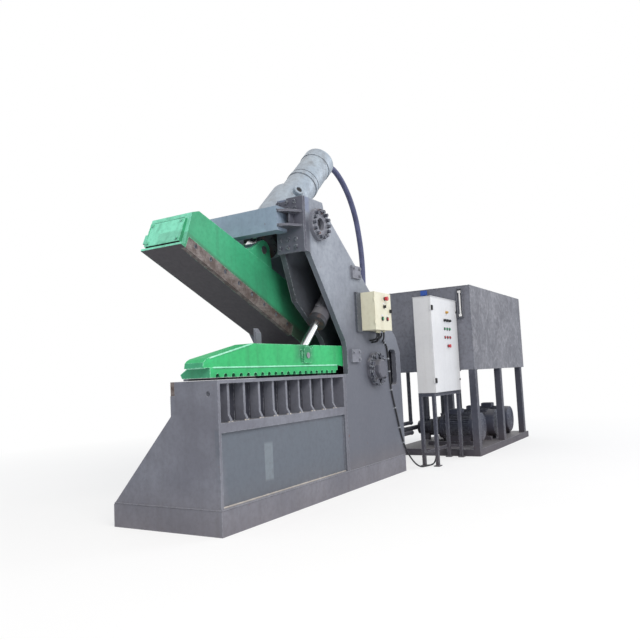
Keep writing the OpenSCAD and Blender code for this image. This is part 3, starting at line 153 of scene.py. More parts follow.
def addTurned(shape, profile, place, axis, steps=40, phase=0.0):
    addWalls(shape, turnedRings(shape, profile, place, axis, steps, phase))


def addRing(shape, inner, outer, low, high, place, axis, steps=32):
    section = [(inner, low), (outer, low), (outer, high), (inner, high)]
    rings = turnedRings(shape, section, place, axis, steps)
    addWalls(shape, rings + rings[:1], capped=False)


def smoothPath(points, between=4):
    path = []
    last = len(points) - 1
    for i in range(last):
        a, b, c, d = (Vector(points[min(max(i + k, 0), last)]) for k in (-1, 0, 1, 2))
        for step in range(between):
            t = step / between
            path.append(0.5 * (2 * b + (c - a) * t + (2 * a - 5 * b + 4 * c - d) * t * t
                               + (3 * b - a - 3 * c + d) * t ** 3))
    path.append(Vector(points[-1]))
    return path


def tubePiece(name, path, radius, sides, material):
    shape = bmesh.new()
    uv = shape.loops.layers.uv.new("UVMap")
    forward = (path[1] - path[0]).normalized()
    side = forward.cross(Vector((0.12, 1, 0.05))).normalized()
    rings, lengths, length = [], [], 0
    for i, point in enumerate(path):
        if i:
            length += (point - path[i - 1]).length
        ahead = (path[min(i + 1, len(path) - 1)] - path[max(i - 1, 0)]).normalized()
        side = (side - side.dot(ahead) * ahead).normalized()
        across = ahead.cross(side)
        lengths.append(length)
        rings.append([shape.verts.new(point + radius * (math.cos(math.tau * k / sides) * side
                      + math.sin(math.tau * k / sides) * across)) for k in range(sides)])
    for i in range(len(rings) - 1):
        for k in range(sides):
            m = (k + 1) % sides
            face = shape.faces.new((rings[i][k], rings[i][m], rings[i + 1][m], rings[i + 1][k]))
            face.smooth = True
            corners = ((i, k), (i, k + 1), (i + 1, k + 1), (i + 1, k))
            for loop, (ring, around) in zip(face.loops, corners):
                loop[uv].uv = (lengths[ring], around / sides)
    shape.faces.new(rings[0])
    shape.faces.new(rings[-1])
    return meshPiece(name, shape, material), length


# Materials


def linear(colour):
    parts = [int(colour[i:i + 2], 16) / 255 for i in (1, 3, 5)]
    return tuple(c / 12.92 if c <= 0.04045 else ((c + 0.055) / 1.055) ** 2.4
                 for c in parts) + (1.0,)


def addNode(tree, kind, sockets=None, **settings):
    node = tree.nodes.new(kind)
    for key, value in settings.items():
        setattr(node, key, value)
    for key, value in (sockets or {}).items():
        if isinstance(value, bpy.types.Node):
            value = value.outputs[0]
        if isinstance(value, bpy.types.NodeSocket):
            tree.links.new(value, node.inputs[key])
        else:
            node.inputs[key].default_value = value
    return node


def newMaterial(name, shaderSockets):
    material = bpy.data.materials.new(name)
    material.use_nodes = True
    tree = material.node_tree
    tree.nodes.clear()
    shader = addNode(tree, "ShaderNodeBsdfPrincipled", shaderSockets)
    addNode(tree, "ShaderNodeOutputMaterial", {"Surface": shader})
    return material, tree, shader


def surfaced(tree, shader, ground, coats, rough, relief):  # each coat is a mask and its colour
    colour = linear(ground)
    for mask, tone in coats:
        colour = addNode(tree, "ShaderNodeMixRGB", {"Fac": mask, "Color1": colour,
                                                    "Color2": linear(tone)})
    for key, node in (("Base Color", colour), ("Roughness", rough), ("Normal", relief)):
        tree.links.new(node.outputs[0], shader.inputs[key])


# Brushed-on machinery enamel over plate: chalky patches, runs, grime in low places, chipped edges
# Grains are in metres. The 12 mm brush skin is coarser than a real one, so that it shows
# It also paints light and shade: its own tone on faces turned to -X, shade on faces turned down
def machineEnamel(name, look):
    material, tree, shader = newMaterial(name, {"IOR": 1.5, "Metallic": 0.0})
    here = addNode(tree, "ShaderNodeTexCoord").outputs["Object"]
    facing = addNode(tree, "ShaderNodeNewGeometry").outputs["Normal"]
    tilt = addNode(tree, "ShaderNodeSeparateXYZ", {0: facing})
    height = addNode(tree, "ShaderNodeSeparateXYZ", {0: here}).outputs["Z"]
    hanging = addNode(tree, "ShaderNodeMapping", {0: here, 3: (11.0, 11.0, 0.8)})
    softened = addNode(tree, "ShaderNodeBevel", {"Radius": 0.012}, samples=4)
    flat = addNode(tree, "ShaderNodeVectorMath", {0: softened, 1: facing}, operation="DOT_PRODUCT")
    noise = {}
    for key, source, grain, detail, roughness, distortion in (
            ("patch", here, look["patch"], 5.0, 0.6, 0.0), ("swirl", here, 0.3, 3.0, 0.5, 2.6),
            ("runs", hanging, 1.0, 4.0, 0.5, 0.0), ("fine", here, 0.045, 6.0, 0.7, 0.0),
            ("chip", here, 0.03, 5.0, 0.5, 0.0), ("rust", here, 0.11, 8.0, 0.72, 0.0),
            ("wave", here, 0.32, 2.0, 0.5, 0.0), ("skin", here, 0.012, 3.0, 0.5, 0.0)):
        noise[key] = addNode(tree, "ShaderNodeTexNoise", {
            "Vector": source, "Scale": 1 / grain, "Detail": detail, "Roughness": roughness,
            "Distortion": distortion})
    mask = {}
    for key, source, low, high, share in (
            ("chalk", noise["patch"], 0.38, 0.64, 1.0),
            # painted light and shade: faces turned to -X take the look's front tone
            ("front", tilt.outputs["X"], -0.6, -0.85, look["frontLightShadeShare"]),
            ("side", tilt.outputs["Y"], -0.3, -0.8, look["swirl"]),
            ("runs", noise["runs"], 0.52, 0.78, look["runs"]),
            ("mottle", noise["fine"], 0.45, 0.75, look["mottle"]),
            ("dust", tilt.outputs["Z"], 0.5, 0.95, look["dust"]),
            # painted shade: faces turned down take the under tone, which falls back to the grime colour
            ("under", tilt.outputs["Z"], -0.4, -0.85, look["underShare"]),
            ("foot", height, 0.45, 0.0, look["foot"]),
            ("edge", flat.outputs["Value"], 0.985, 0.86, 1.0),
            ("chip", noise["chip"], 0.42, 0.56, look["chips"]),
            ("rust", noise["rust"], look["rustFrom"], look["rustFrom"] + 0.06, 0.85)):
        mask[key] = addNode(tree, "ShaderNodeMapRange", {0: source, 1: low, 2: high, 4: share})
    for key, other in (("foot", noise["patch"]), ("edge", mask["chip"])):
        mask[key] = addNode(tree, "ShaderNodeMath", {0: mask[key], 1: other},
                            operation="MULTIPLY")
    swirl = addNode(tree, "ShaderNodeMapRange", {0: noise["swirl"], 1: 0.5, 2: 0.62,
                                                 4: mask["side"]})
    coats = [(mask["chalk"], look["faded"]), (mask["front"], look.get("front", look["faded"])),
             (swirl, "#93939a"), (mask["runs"], look["grimeAndShade"])]
    # the listed zones: some are stains, others painted shade and painted light
    for middle, halfSizes, tone, share, soft, slant in look["stainsAndShades"]:
        zone = addNode(tree, "ShaderNodeMapping", {0: here, 1: middle, 2: (0, slant, 0),
                                                   3: halfSizes}, vector_type="TEXTURE")
        zone = addNode(tree, "ShaderNodeVectorMath", {0: zone}, operation="ABSOLUTE")
        zone = addNode(tree, "ShaderNodeSeparateXYZ", {0: zone})
        wide = zone.outputs["X"]
        for axis in ("Y", "Z"):
            wide = addNode(tree, "ShaderNodeMath", {0: wide, 1: zone.outputs[axis]},
                           operation="MAXIMUM")
        ragged = addNode(tree, "ShaderNodeMath", {0: noise["patch"], 1: 0.4, 2: wide},
                         operation="MULTIPLY_ADD")
        zone = addNode(tree, "ShaderNodeMapRange", {0: ragged, 1: 1.2, 2: 1.2 - soft, 4: share})
        coats.append((zone, tone))
    # mottle, dust, the brown at the foot, chipped edges and rust are the paint's own; the under coat is painted
    # shade
    coats += [(mask["mottle"], look["grimeAndShade"]), (mask["dust"], look["dustColour"]),
              (mask["under"], look.get("under", look["grimeAndShade"])), (mask["foot"], "#6f5a4c"),
              (mask["edge"], look["edge"]), (mask["rust"], "#6a4434")]
    rough = addNode(tree, "ShaderNodeMapRange", {0: noise["fine"], 1: 0.2, 2: 0.8,
                                                 3: look["rough"] - 0.1, 4: look["rough"] + 0.12})
    wave = addNode(tree, "ShaderNodeBump", {"Height": noise["wave"], "Strength": 0.35,
                                            "Distance": 0.012})
    skin = addNode(tree, "ShaderNodeBump", {"Height": noise["skin"], "Normal": wave,
                                            "Strength": 0.25, "Distance": 0.0012})
    surfaced(tree, shader, look["paint"], coats, rough, skin)
    return material


# Bare steel, turned, ground or drawn: fine tool lines, with a rust bloom where it is left dry
# The lines lie 11 to 25 mm apart, much coarser than real ones, so that they show
def bareSteel(name, look):
    material, tree, shader = newMaterial(name, {"Metallic": look["metal"]})
    here = addNode(tree, "ShaderNodeTexCoord").outputs["Object"]
    lines = addNode(tree, "ShaderNodeMapping", {0: here, 3: look["lines"]})
    lines = addNode(tree, "ShaderNodeTexNoise", {"Vector": lines, "Scale": 1.0, "Detail": 4.0})
    bloom = addNode(tree, "ShaderNodeTexNoise",
                    {"Vector": here, "Scale": 1 / 0.14, "Detail": 8.0, "Roughness": 0.7})
    rust = addNode(tree, "ShaderNodeMapRange", {0: bloom, 1: look["rustFrom"],
                                                2: look["rustFrom"] + 0.14, 4: look["rust"]})
    rough = addNode(tree, "ShaderNodeMapRange", {0: bloom, 1: 0.3, 2: 0.7, 3: look["rough"],
                                                 4: look["rough"] + 0.2})
    bump = addNode(tree, "ShaderNodeBump", {"Height": lines, "Strength": 0.2, "Distance": 0.0006})
    surfaced(tree, shader, look["dark"],
             [(lines, look["steel"]), (rust, look["rustTone"])], rough, bump)
    return material


# Moulded plastic: even colour, a faint moulding texture, drawn coarse at 2 mm, and dust in it
def mouldedPlastic(name, look):
    material, tree, shader = newMaterial(name, {"IOR": 1.5, "Coat Weight": look.get("coat", 0.0)})
    here = addNode(tree, "ShaderNodeTexCoord").outputs["Object"]
    dust = addNode(tree, "ShaderNodeTexNoise", {"Vector": here, "Scale": 1 / 0.02, "Detail": 5.0})
    dusty = addNode(tree, "ShaderNodeMapRange", {0: dust, 1: 0.5, 2: 0.8, 4: 0.3})
    rough = addNode(tree, "ShaderNodeMapRange", {0: dust, 1: 0.2, 2: 0.8, 3: look["rough"],
                                                 4: look["rough"] + 0.15})
    grain = addNode(tree, "ShaderNodeTexNoise", {"Vector": here, "Scale": 1 / 0.002})
    grain = addNode(tree, "ShaderNodeBump", {"Height": grain, "Strength": 0.2, "Distance": 0.0002})
    surfaced(tree, shader, look["plastic"], [(dusty, look["dust"])], rough, grain)
    return material


# Extruded rubber over a spiral-wound carcass: the wrap shows as faint turns along the length
def hoseRubber(name, look):
    material, tree, shader = newMaterial(name, {"IOR": 1.5})
    along = addNode(tree, "ShaderNodeUVMap", uv_map="UVMap")
    here = addNode(tree, "ShaderNodeTexCoord").outputs["Object"]
    wrap = addNode(tree, "ShaderNodeTexWave", {"Vector": along, "Scale": look["turns"],
                                               "Distortion": 0.6, "Detail": 1.0})
    dust = addNode(tree, "ShaderNodeTexNoise", {"Vector": here, "Scale": 1 / 0.09, "Detail": 5.0})
    dusty = addNode(tree, "ShaderNodeMapRange", {0: dust, 1: 0.4, 2: 0.7, 4: 0.6})
    rough = addNode(tree, "ShaderNodeMapRange", {0: dust, 1: 0.2, 2: 0.8, 3: 0.5, 4: 0.75})
    bump = addNode(tree, "ShaderNodeBump", {"Height": wrap, "Strength": 0.3, "Distance": 0.002})
    surfaced(tree, shader, look["rubber"], [(dusty, look["dust"])], rough, bump)
    return material


enamelBase = {"patch": 0.7, "runs": 0.3, "mottle": 0.35, "dust": 0.45, "dustColour": "#9a9a9c",
              "foot": 0.7, "chips": 0.6, "edge": "#9aa0a8", "rustFrom": 0.66, "rough": 0.55,
              "frontLightShadeShare": 0.0, "swirl": 0.0, "underShare": 0.5, "stainsAndShades": ()}
# Each zone has its middle, half sizes, tone, share, softness and slant; lengths in metres. Painted shadows and
# light among them are noted at each
enamelLooks = {
    "frame_paint": {
        "paint": "#696b76", "faded": "#7a7d88", "grimeAndShade": "#54545c", "foot": 0.35, "stainsAndShades": [
            ((-1.85, -0.505, 0.53), (1.12, 0.022, 0.33), "#58616c", 0.9, 0.15, 0.0),
            # painted shade: the rib bay's back darkened, as shade in the recess between the ribs
            ((-1.85, -0.37, 1.09), (0.98, 0.045, 0.2), "#2c2e3a", 0.95, 0.15, 0.0),
            ((-2.21, -0.505, 0.52), (0.07, 0.03, 0.18), "#828d95", 0.55, 0.15, 0.0),
            # the pivot cap and the plate round it darker
            ((0.0, -0.65, 1.326), (0.26, 0.15, 0.26), "#50525d", 0.8, 0.15, 0.0),
            # painted shadow: the bolted flange plate darkened where the gusset above shades it
            ((-1.56, -0.36, 2.86), (0.2, 0.35, 0.42), "#474957", 0.8, 0.3, 0.0),
            # painted shade: the clamp cylinder's barrel darkened where it stands in shade
            ((-0.7, -0.36, 2.2), (0.55, 0.15, 0.6), "#4a4a51", 0.95, 0.2, 0.0)]},
    "upright_paint": {
        "paint": "#757b87", "faded": "#8d949f", "grimeAndShade": "#5c626d", "edge": "#a9afb7",
        # painted shade: the upright's faces turned to -X are darkened
        "chips": 0.8, "front": "#565766", "frontLightShadeShare": 0.6, "stainsAndShades": [
            # the upright darker towards the bottom and the near side
            ((-0.3, -0.45, 0.9), (2.2, 0.6, 1.5), "#585b66", 0.9, 0.6, 0.0),
            # painted shadow: the crown and flange darker below, in the shadow of the beam's gusset
            ((-1.44, -0.45, 2.72), (0.12, 0.5, 0.26), "#41434f", 0.85, 0.4, 0.0),
            # painted light: a lighter, bluer band at the top of the crown and flange, where light falls
            ((-1.44, -0.45, 3.1), (0.12, 0.5, 0.12), "#6a7590", 0.8, 0.4, 0.0),
            # painted shade: the inner plate at the upright's front darkened, in the shade between the jaw and the
            # upright
            ((-0.95, -0.25, 2.1), (0.6, 0.09, 0.66), "#35383e", 0.95, 0.4, 0.0)]},
    "beam_paint": {"paint": "#8798ac", "faded": "#9bafc3", "grimeAndShade": "#6b7788"},
    "cylinder_paint": {
        "paint": "#8f9dac", "faded": "#a6b3be", "grimeAndShade": "#6d6f74", "runs": 0.65, "mottle": 0.5,
        # painted shade: the cylinder's faces turned down take the under tone
        "edge": "#cfd5d9", "rough": 0.42, "under": "#7a838b", "stainsAndShades": [
            # painted shade: the trunnion's end darkened as shade deep in its hole
            ((-1.185, -0.5, 2.89), (0.15, 0.15, 0.15), "#26272f", 0.95, 0.2, 0.0)]},
    "jaw_paint": {
        # painted light: the jaw's faces turned to -X are lightened to a bright mint
        "paint": "#30946a", "faded": "#3ba779", "grimeAndShade": "#2a6c50", "front": "#86e2c2",
        "frontLightShadeShare": 1.0, "edge": "#8fe3c3", "dustColour": "#4fb389", "dust": 0.5,
        # painted shade: the jaw's faces turned down take the under tone
        "under": "#3b373d", "underShare": 1.0, "rustFrom": 0.67, "foot": 0.0, "runs": 0.5,
        "stainsAndShades": [
            # painted shade: the jaw darker towards its hub, where it runs back between the uprights
            ((0.1, 0.2, 1.6), (1.9, 2.0, 1.6), "#2a644c", 0.9, 0.7, 0.0),
            # painted shade: a band along the lug on the jaw's top, in the shade under the beam
            ((-1.53, 0.03, 2.06), (1.4, 0.3, 0.1), "#3c463c", 0.9, 0.5, 0.42)]},
    "arm_paint": {
        # painted shade: the arm's faces turned to -X are darkened
        "paint": "#1fa55e", "faded": "#29b56c", "grimeAndShade": "#1f6f48", "front": "#3f8f74",
        "frontLightShadeShare": 0.7, "edge": "#9eeac6", "dustColour": "#39ae72", "dust": 0.5,
        # painted shade: the arm's faces turned down take the under tone
        "rustFrom": 0.68, "foot": 0.0, "chips": 0.9, "runs": 0.45, "under": "#463a40",
        "underShare": 0.9, "stainsAndShades": [
            # a darker band along the foot of the arm's front end, just above the bed
            ((-3.0, -0.3, 1.318), (0.05, 0.4, 0.04), "#4b3c42", 0.95, 0.4, 0.0),
            ((-1.45, -0.47, 1.56), (0.22, 0.05, 0.16), "#1f6e4a", 0.8, 0.6, 0.0)]},
    "tank_paint": {
        "paint": "#5c5e67", "faded": "#74767e", "grimeAndShade": "#484850", "patch": 0.3, "mottle": 0.6,
        # painted light: the tank's faces turned to -X are lightened
        "rustFrom": 0.7, "swirl": 0.45, "front": "#757883", "frontLightShadeShare": 0.7},
    "motor_paint": {"paint": "#33384a", "faded": "#3f4454", "grimeAndShade": "#25262e"},
    "pump_paint": {"paint": "#262a38", "faded": "#31364a", "grimeAndShade": "#1b1c24", "rough": 0.4},
    "pipe_paint": {"paint": "#3f424d", "faded": "#4d505c", "grimeAndShade": "#2e2f36"},
    "manifold_paint": {"paint": "#4a505c", "faded": "#59606c", "grimeAndShade": "#36393f"},
    "stand_paint": {"paint": "#3a3c49", "faded": "#474a57", "grimeAndShade": "#2f313b", "foot": 0.4},
    "bracket_paint": {"paint": "#474c55", "faded": "#575d66", "grimeAndShade": "#36393f"},
    "bolt_steel": {
        "paint": "#383b48", "faded": "#494c59", "grimeAndShade": "#2a2d38", "chips": 0.9,
        "rustFrom": 0.62},
    "cabinet_paint": {
        "paint": "#d2d4d8", "faded": "#dadcdf", "grimeAndShade": "#b2b2b0", "runs": 0.22, "mottle": 0.12,
        "dust": 0.2, "dustColour": "#c6c7c6", "edge": "#b9bbbc", "chips": 0.3, "rustFrom": 0.78,
        "rough": 0.42, "foot": 0.0},
    "pendant_paint": {
        "paint": "#d6d3bc", "faded": "#deddcb", "grimeAndShade": "#aca68a", "runs": 0.25, "mottle": 0.2,
        "dust": 0.3, "dustColour": "#bdb9a2", "edge": "#c3bfa6", "chips": 0.4, "rustFrom": 0.76,
        "rough": 0.42, "foot": 0.0},
}
finishes = {slot: machineEnamel(slot + "_enamel", {**enamelBase, **look})
            for slot, look in enamelLooks.items()}
steelBase = {"metal": 0.4, "lines": (60.0, 60.0, 60.0), "rust": 0.6, "rustTone": "#70503e"}
steelLooks = {
    "blade_steel": {"steel": "#9d9592", "dark": "#544c4b", "rough": 0.5,
                    "lines": (2.0, 60.0, 60.0), "rustFrom": 0.42, "rust": 0.75,
                    "rustTone": "#4d3f3b"},
    "pin_steel": {"steel": "#a3a6ab", "dark": "#75777c", "metal": 0.9, "rough": 0.35,
                  "lines": (90.0, 4.0, 90.0), "rustFrom": 0.55},
    "rod_chrome": {"steel": "#f1f3f4", "dark": "#e3e6e8", "metal": 1.0, "rough": 0.12,
                   "rustFrom": 0.72, "rust": 0.3},
    # painted shade: these tones are darkened to stand in for the shade the clamp cylinder's gland sits in
    "gland_iron": {"steel": "#43444b", "dark": "#2e2f34", "rough": 0.55,
                   "lines": (40.0, 40.0, 40.0), "rustFrom": 0.5},
    "bell_iron": {"steel": "#505055", "dark": "#3b3b40", "metal": 0.3, "rough": 0.6,
                  "lines": (50.0, 50.0, 50.0), "rustFrom": 0.6},
    "gauge_metal": {"steel": "#a9adb4", "dark": "#8d9299", "metal": 0.6, "rough": 0.4,
                    "lines": (60.0, 60.0, 8.0), "rustFrom": 0.75, "rust": 0.2},
}
finishes.update({slot: bareSteel(slot + "_bare", {**steelBase, **look})
                 for slot, look in steelLooks.items()})
plasticLooks = {
    "red_plastic": {"plastic": "#b8202c", "dust": "#a0524f", "rough": 0.3, "coat": 0.3},
    "green_plastic": {"plastic": "#1f8f5a", "dust": "#4b8a6d", "rough": 0.3, "coat": 0.3},
    "black_plastic": {"plastic": "#1b1c1f", "dust": "#3e3d3c", "rough": 0.45},
    "switch_plastic": {"plastic": "#2f55a8", "dust": "#5c6c92", "rough": 0.45},
    "white_plastic": {"plastic": "#d9dadb", "dust": "#aeadaa", "rough": 0.4},
    "amber_plastic": {"plastic": "#b5882c", "dust": "#8d7a52", "rough": 0.25, "coat": 0.5},
}
finishes.update({slot: mouldedPlastic(slot + "_moulded", look)
                 for slot, look in plasticLooks.items()})
finishes["hose_rubber"] = hoseRubber("hose_rubber_wrapped",
                                     {"rubber": "#444868", "dust": "#60668a", "turns": 9.0})
finishes["cable_rubber"] = hoseRubber("cable_rubber_sheath",
                                      {"rubber": "#1d1f25", "dust": "#35373c", "turns": 20.0})
for part in frame["record"]["subparts"]:
    if part["material_slot"] in finishes:
        coated = nodes[part["node"]].data.materials
        coated.clear()
        coated.append(finishes[part["material_slot"]])
print("finishes:", len(finishes))


# Node trees for what repeats: bolts on points, weld beads on lines, fins round a drum


def sizedTree(name, inputs):
    tree = bpy.data.node_groups.new(name, "GeometryNodeTree")
    for label, value in {"Geometry": None, **inputs, "Material": None}.items():
        kind = {int: "NodeSocketInt", float: "NodeSocketFloat", tuple: "NodeSocketVector"}.get(
            type(value), "NodeSocket" + label)
        socket = tree.interface.new_socket(name=label, in_out="INPUT", socket_type=kind)
        if value is not None:
            socket.default_value = value
    tree.interface.new_socket(name="Geometry", in_out="OUTPUT", socket_type="NodeSocketGeometry")
    given = addNode(tree, "NodeGroupInput")
    return tree, {socket.name: socket for socket in given.outputs}


def endTree(tree, shape, given):
    real = addNode(tree, "GeometryNodeRealizeInstances", {0: shape})
    coat = addNode(tree, "GeometryNodeSetMaterial", {0: real, "Material": given["Material"]})
    addNode(tree, "NodeGroupOutput", {0: coat})


boltTree, given = sizedTree("boltHeads", {
    "Outward": (0, -1, 0), "Across": 0.03, "Head": 0.02, "Stud": 0.01, "Seed": 3})
studLong = addNode(boltTree, "ShaderNodeMath", {0: given["Head"], 1: given["Stud"]},
                   operation="ADD")
whole = addNode(boltTree, "GeometryNodeJoinGeometry")
for sides, share, depth, lift in ((6, 0.577, given["Head"], 0.5), (20, 0.68, 0.006, 0.0),
                                  (16, 0.31, studLong, 0.5)):  # the head, its washer, the stud
    radius = addNode(boltTree, "ShaderNodeMath", {0: given["Across"], 1: share},
                     operation="MULTIPLY")
    rise = addNode(boltTree, "ShaderNodeMath", {0: depth, 1: lift}, operation="MULTIPLY")
    rise = addNode(boltTree, "ShaderNodeCombineXYZ", {2: rise})
    drum = addNode(boltTree, "GeometryNodeMeshCylinder",
                   {"Vertices": sides, "Radius": radius, "Depth": depth})
    drum = addNode(boltTree, "GeometryNodeTransform", {0: drum, "Translation": rise})
    boltTree.links.new(drum.outputs[0], whole.inputs[0])
aim = addNode(boltTree, "FunctionNodeAlignRotationToVector",
              {"Vector": given["Outward"]}, axis="Z")
spin = addNode(boltTree, "FunctionNodeRandomValue",
               {2: 0.0, 3: 1.05, "Seed": given["Seed"]}, data_type="FLOAT")
spin = addNode(boltTree, "ShaderNodeCombineXYZ", {2: spin.outputs[1]})
spin = addNode(boltTree, "FunctionNodeEulerToRotation", {0: spin})
aim = addNode(boltTree, "FunctionNodeRotateRotation", {0: aim, 1: spin}, rotation_space="LOCAL")
toPoints = addNode(boltTree, "GeometryNodeMeshToPoints", {0: given["Geometry"]})
placed = addNode(boltTree, "GeometryNodeInstanceOnPoints",
                 {"Points": toPoints, "Instance": whole, "Rotation": aim})
endTree(boltTree, placed, given)

weldTree, given = sizedTree("weldBeads", {"Bead": 0.008, "Ripple": 0.006, "Seed": 5})
line = addNode(weldTree, "GeometryNodeMeshToCurve", {0: given["Geometry"]})
line = addNode(weldTree, "GeometryNodeResampleCurve",
               {"Curve": line, "Length": given["Ripple"]}, mode="LENGTH")
swell = addNode(weldTree, "FunctionNodeRandomValue",
                {2: 0.7, 3: 1.15, "Seed": given["Seed"]}, data_type="FLOAT")
swell = addNode(weldTree, "ShaderNodeMath", {0: swell.outputs[1], 1: given["Bead"]},
                operation="MULTIPLY")
bead = addNode(weldTree, "GeometryNodeCurvePrimitiveCircle", {"Resolution": 6, "Radius": 1.0})
sweep = addNode(weldTree, "GeometryNodeCurveToMesh",
                {"Curve": line, "Profile Curve": bead, "Scale": swell, "Fill Caps": True})
endTree(weldTree, sweep, given)

finTree, given = sizedTree("coolingFins", {"Count": 40, "Radius": 0.2, "Fin": (0.03, 0.006, 0.4)})
ring = addNode(finTree, "GeometryNodeMeshCircle",
               {"Vertices": given["Count"], "Radius": given["Radius"]})
fin = addNode(finTree, "GeometryNodeMeshCube", {"Size": given["Fin"]})
ringPlace = addNode(finTree, "GeometryNodeInputPosition")
outward = addNode(finTree, "FunctionNodeAlignRotationToVector", {"Vector": ringPlace}, axis="X")
toPoints = addNode(finTree, "GeometryNodeMeshToPoints", {0: ring})
placed = addNode(finTree, "GeometryNodeInstanceOnPoints",
                 {"Points": toPoints, "Instance": fin, "Rotation": outward})
endTree(finTree, placed, given)


def wireMesh(paths):  # a path of one point is a loose point
    corners, edges = [], []
    for path in paths:
        first = len(corners)
        edges += [(first + i, first + i + 1) for i in range(len(path) - 1)]
        corners += [tuple(point) for point in path]
    mesh = bpy.data.meshes.new("wire")
    mesh.from_pydata(corners, edges, [])
    return mesh


def grown(name, tree, paths, values, body, slot, finish=None):
    piece = bpy.data.objects.new(name, wireMesh(paths))
    scene.collection.objects.link(piece)
    modifier = piece.modifiers.new("grown", "NODES")
    modifier.node_group = tree
    values = {**values, "Material": finish or finishes[slot]}
    for item in tree.interface.items_tree:
        if item.in_out == "INPUT" and item.name in values:
            modifier[item.identifier] = values[item.name]
    return seated(settled(piece), body)


def addBolts(name, points, outward, sizes, seed, body, slot):  # across flats, head, stud
    values = {"Outward": outward, "Seed": seed, **dict(zip(("Across", "Head", "Stud"), sizes))}
    grown(name, boltTree, [[point] for point in points], values, body, slot)


def addBeads(name, paths, bead, ripple, seed, body, slot, finish=None):
    values = {"Bead": bead, "Ripple": ripple, "Seed": seed}
    grown(name, weldTree, paths, values, body, slot, finish)


def onCircle(middle, radius, count, phase=0.0):
    return [middle @ Vector((radius * math.cos(math.tau * k / count + phase),
                             radius * math.sin(math.tau * k / count + phase), 0))
            for k in range(count)]


print("node trees built")

# Main hose: held at the cylinder's cap and at the rear manifold; y and its (x, z) points in mm
hose = {"diameter": 0.076, "sides": 20, "y": 128, "bent": (0.875, 0.128, 1.75),
        "held": (0.30, 0.128, 3.90), "points": [
    (139, 3964.2), (176, 3994.2), (216, 4018), (266, 4036), (320, 4045), (378, 4044),
    (440, 4032), (510, 4006), (590, 3963), (670, 3909), (748, 3842), (822, 3764), (886, 3680),
    (943, 3590), (991, 3495), (1030, 3395), (1062, 3283), (1090, 3165), (1112, 3045),
    (1126, 2920), (1132, 2795), (1131, 2670), (1124, 2545), (1110, 2420), (1089, 2295),
    (1062, 2170), (1030, 2045), (992, 1925), (949, 1813), (907, 1715), (883, 1638),
    (875, 1582), (875, 1535.5)]}
hosePath = smoothPath([Vector((x, hose["y"], z)) / 1000 for x, z in hose["points"]])
mainHose, hoseLength = tubePiece("mainHose", hosePath, hose["diameter"] / 2, hose["sides"],
                                 finishes["hose_rubber"])
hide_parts("main_hose")
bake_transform(mainHose)

# Control cable: clipped to the upright, over the floor and up into the cabinet; points in mm
cable = {"diameter": 0.020, "sides": 14, "clipped": (7, 11, 13, 16, 19, 22, 24), "points": [
    (95, -640, 1765.5), (95, -640, 1738), (104, -633, 1710), (124, -618, 1688),
    (156, -596, 1676), (204, -568, 1670), (255, -549, 1664), (303, -542, 1648),
    (342, -542, 1622), (366, -542, 1578), (380, -542, 1520), (389, -542, 1450),
    (396, -542, 1370), (402, -542, 1290), (408, -542, 1210), (416, -542, 1130),
    (430, -542, 1060), (450, -542, 990), (478, -542, 915), (512, -542, 830),
    (542, -542, 750), (574, -542, 665), (610, -542, 575), (652, -542, 479),
    (706, -543, 375), (762, -546, 282), (824, -553, 205), (885, -563, 140),
    (942, -581, 82), (998, -601, 40), (1060, -624, 16), (1140, -649, 12), (1220, -668, 12),
    (1290, -681, 14), (1345, -692, 30), (1382, -700, 72), (1400, -704, 140),
    (1404, -705, 400), (1404, -705, 680), (1404, -705, 941)]}
cablePoints = [Vector(point) / 1000 for point in cable["points"]]
cablePath = smoothPath(cablePoints)
controlCable, cableLength = tubePiece("controlCable", cablePath, cable["diameter"] / 2,
                                      cable["sides"], finishes["cable_rubber"])
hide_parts("pendant_cable")
seated(controlCable, "frame")
print("hose and cable:", round(hoseLength, 2), round(cableLength, 2))

# Hose fittings: a swaged sleeve with two grooves and a union nut at each end
fitting = {"sleeve": 0.047, "groove": 0.044, "long": 0.105, "nut": 0.060, "nutEdge": 0.056}
sleeve, groove = fitting["sleeve"], fitting["groove"]
for end, body, place, ahead in (
        ("upper", "main_cylinder", hosePath[0], hosePath[2] - hosePath[0]),
        ("lower", "frame", hosePath[-1], hosePath[-3] - hosePath[-1])):
    shape = bmesh.new()
    addTurned(shape, [(0.040, 0.0), (sleeve, 0.006), (sleeve, 0.03), (groove, 0.034),
                      (groove, 0.044), (sleeve, 0.048), (sleeve, 0.072), (groove, 0.076),
                      (groove, 0.086), (0.0405, fitting["long"])], place, ahead, 32)
    addTurned(shape, [(fitting["nutEdge"], -0.006), (fitting["nut"], 0.0),
                      (fitting["nut"], 0.020), (fitting["nutEdge"], 0.026)], place, ahead, 6)
    addPart(end + "HoseFitting", shape, body, "pin_steel", 0.0015)

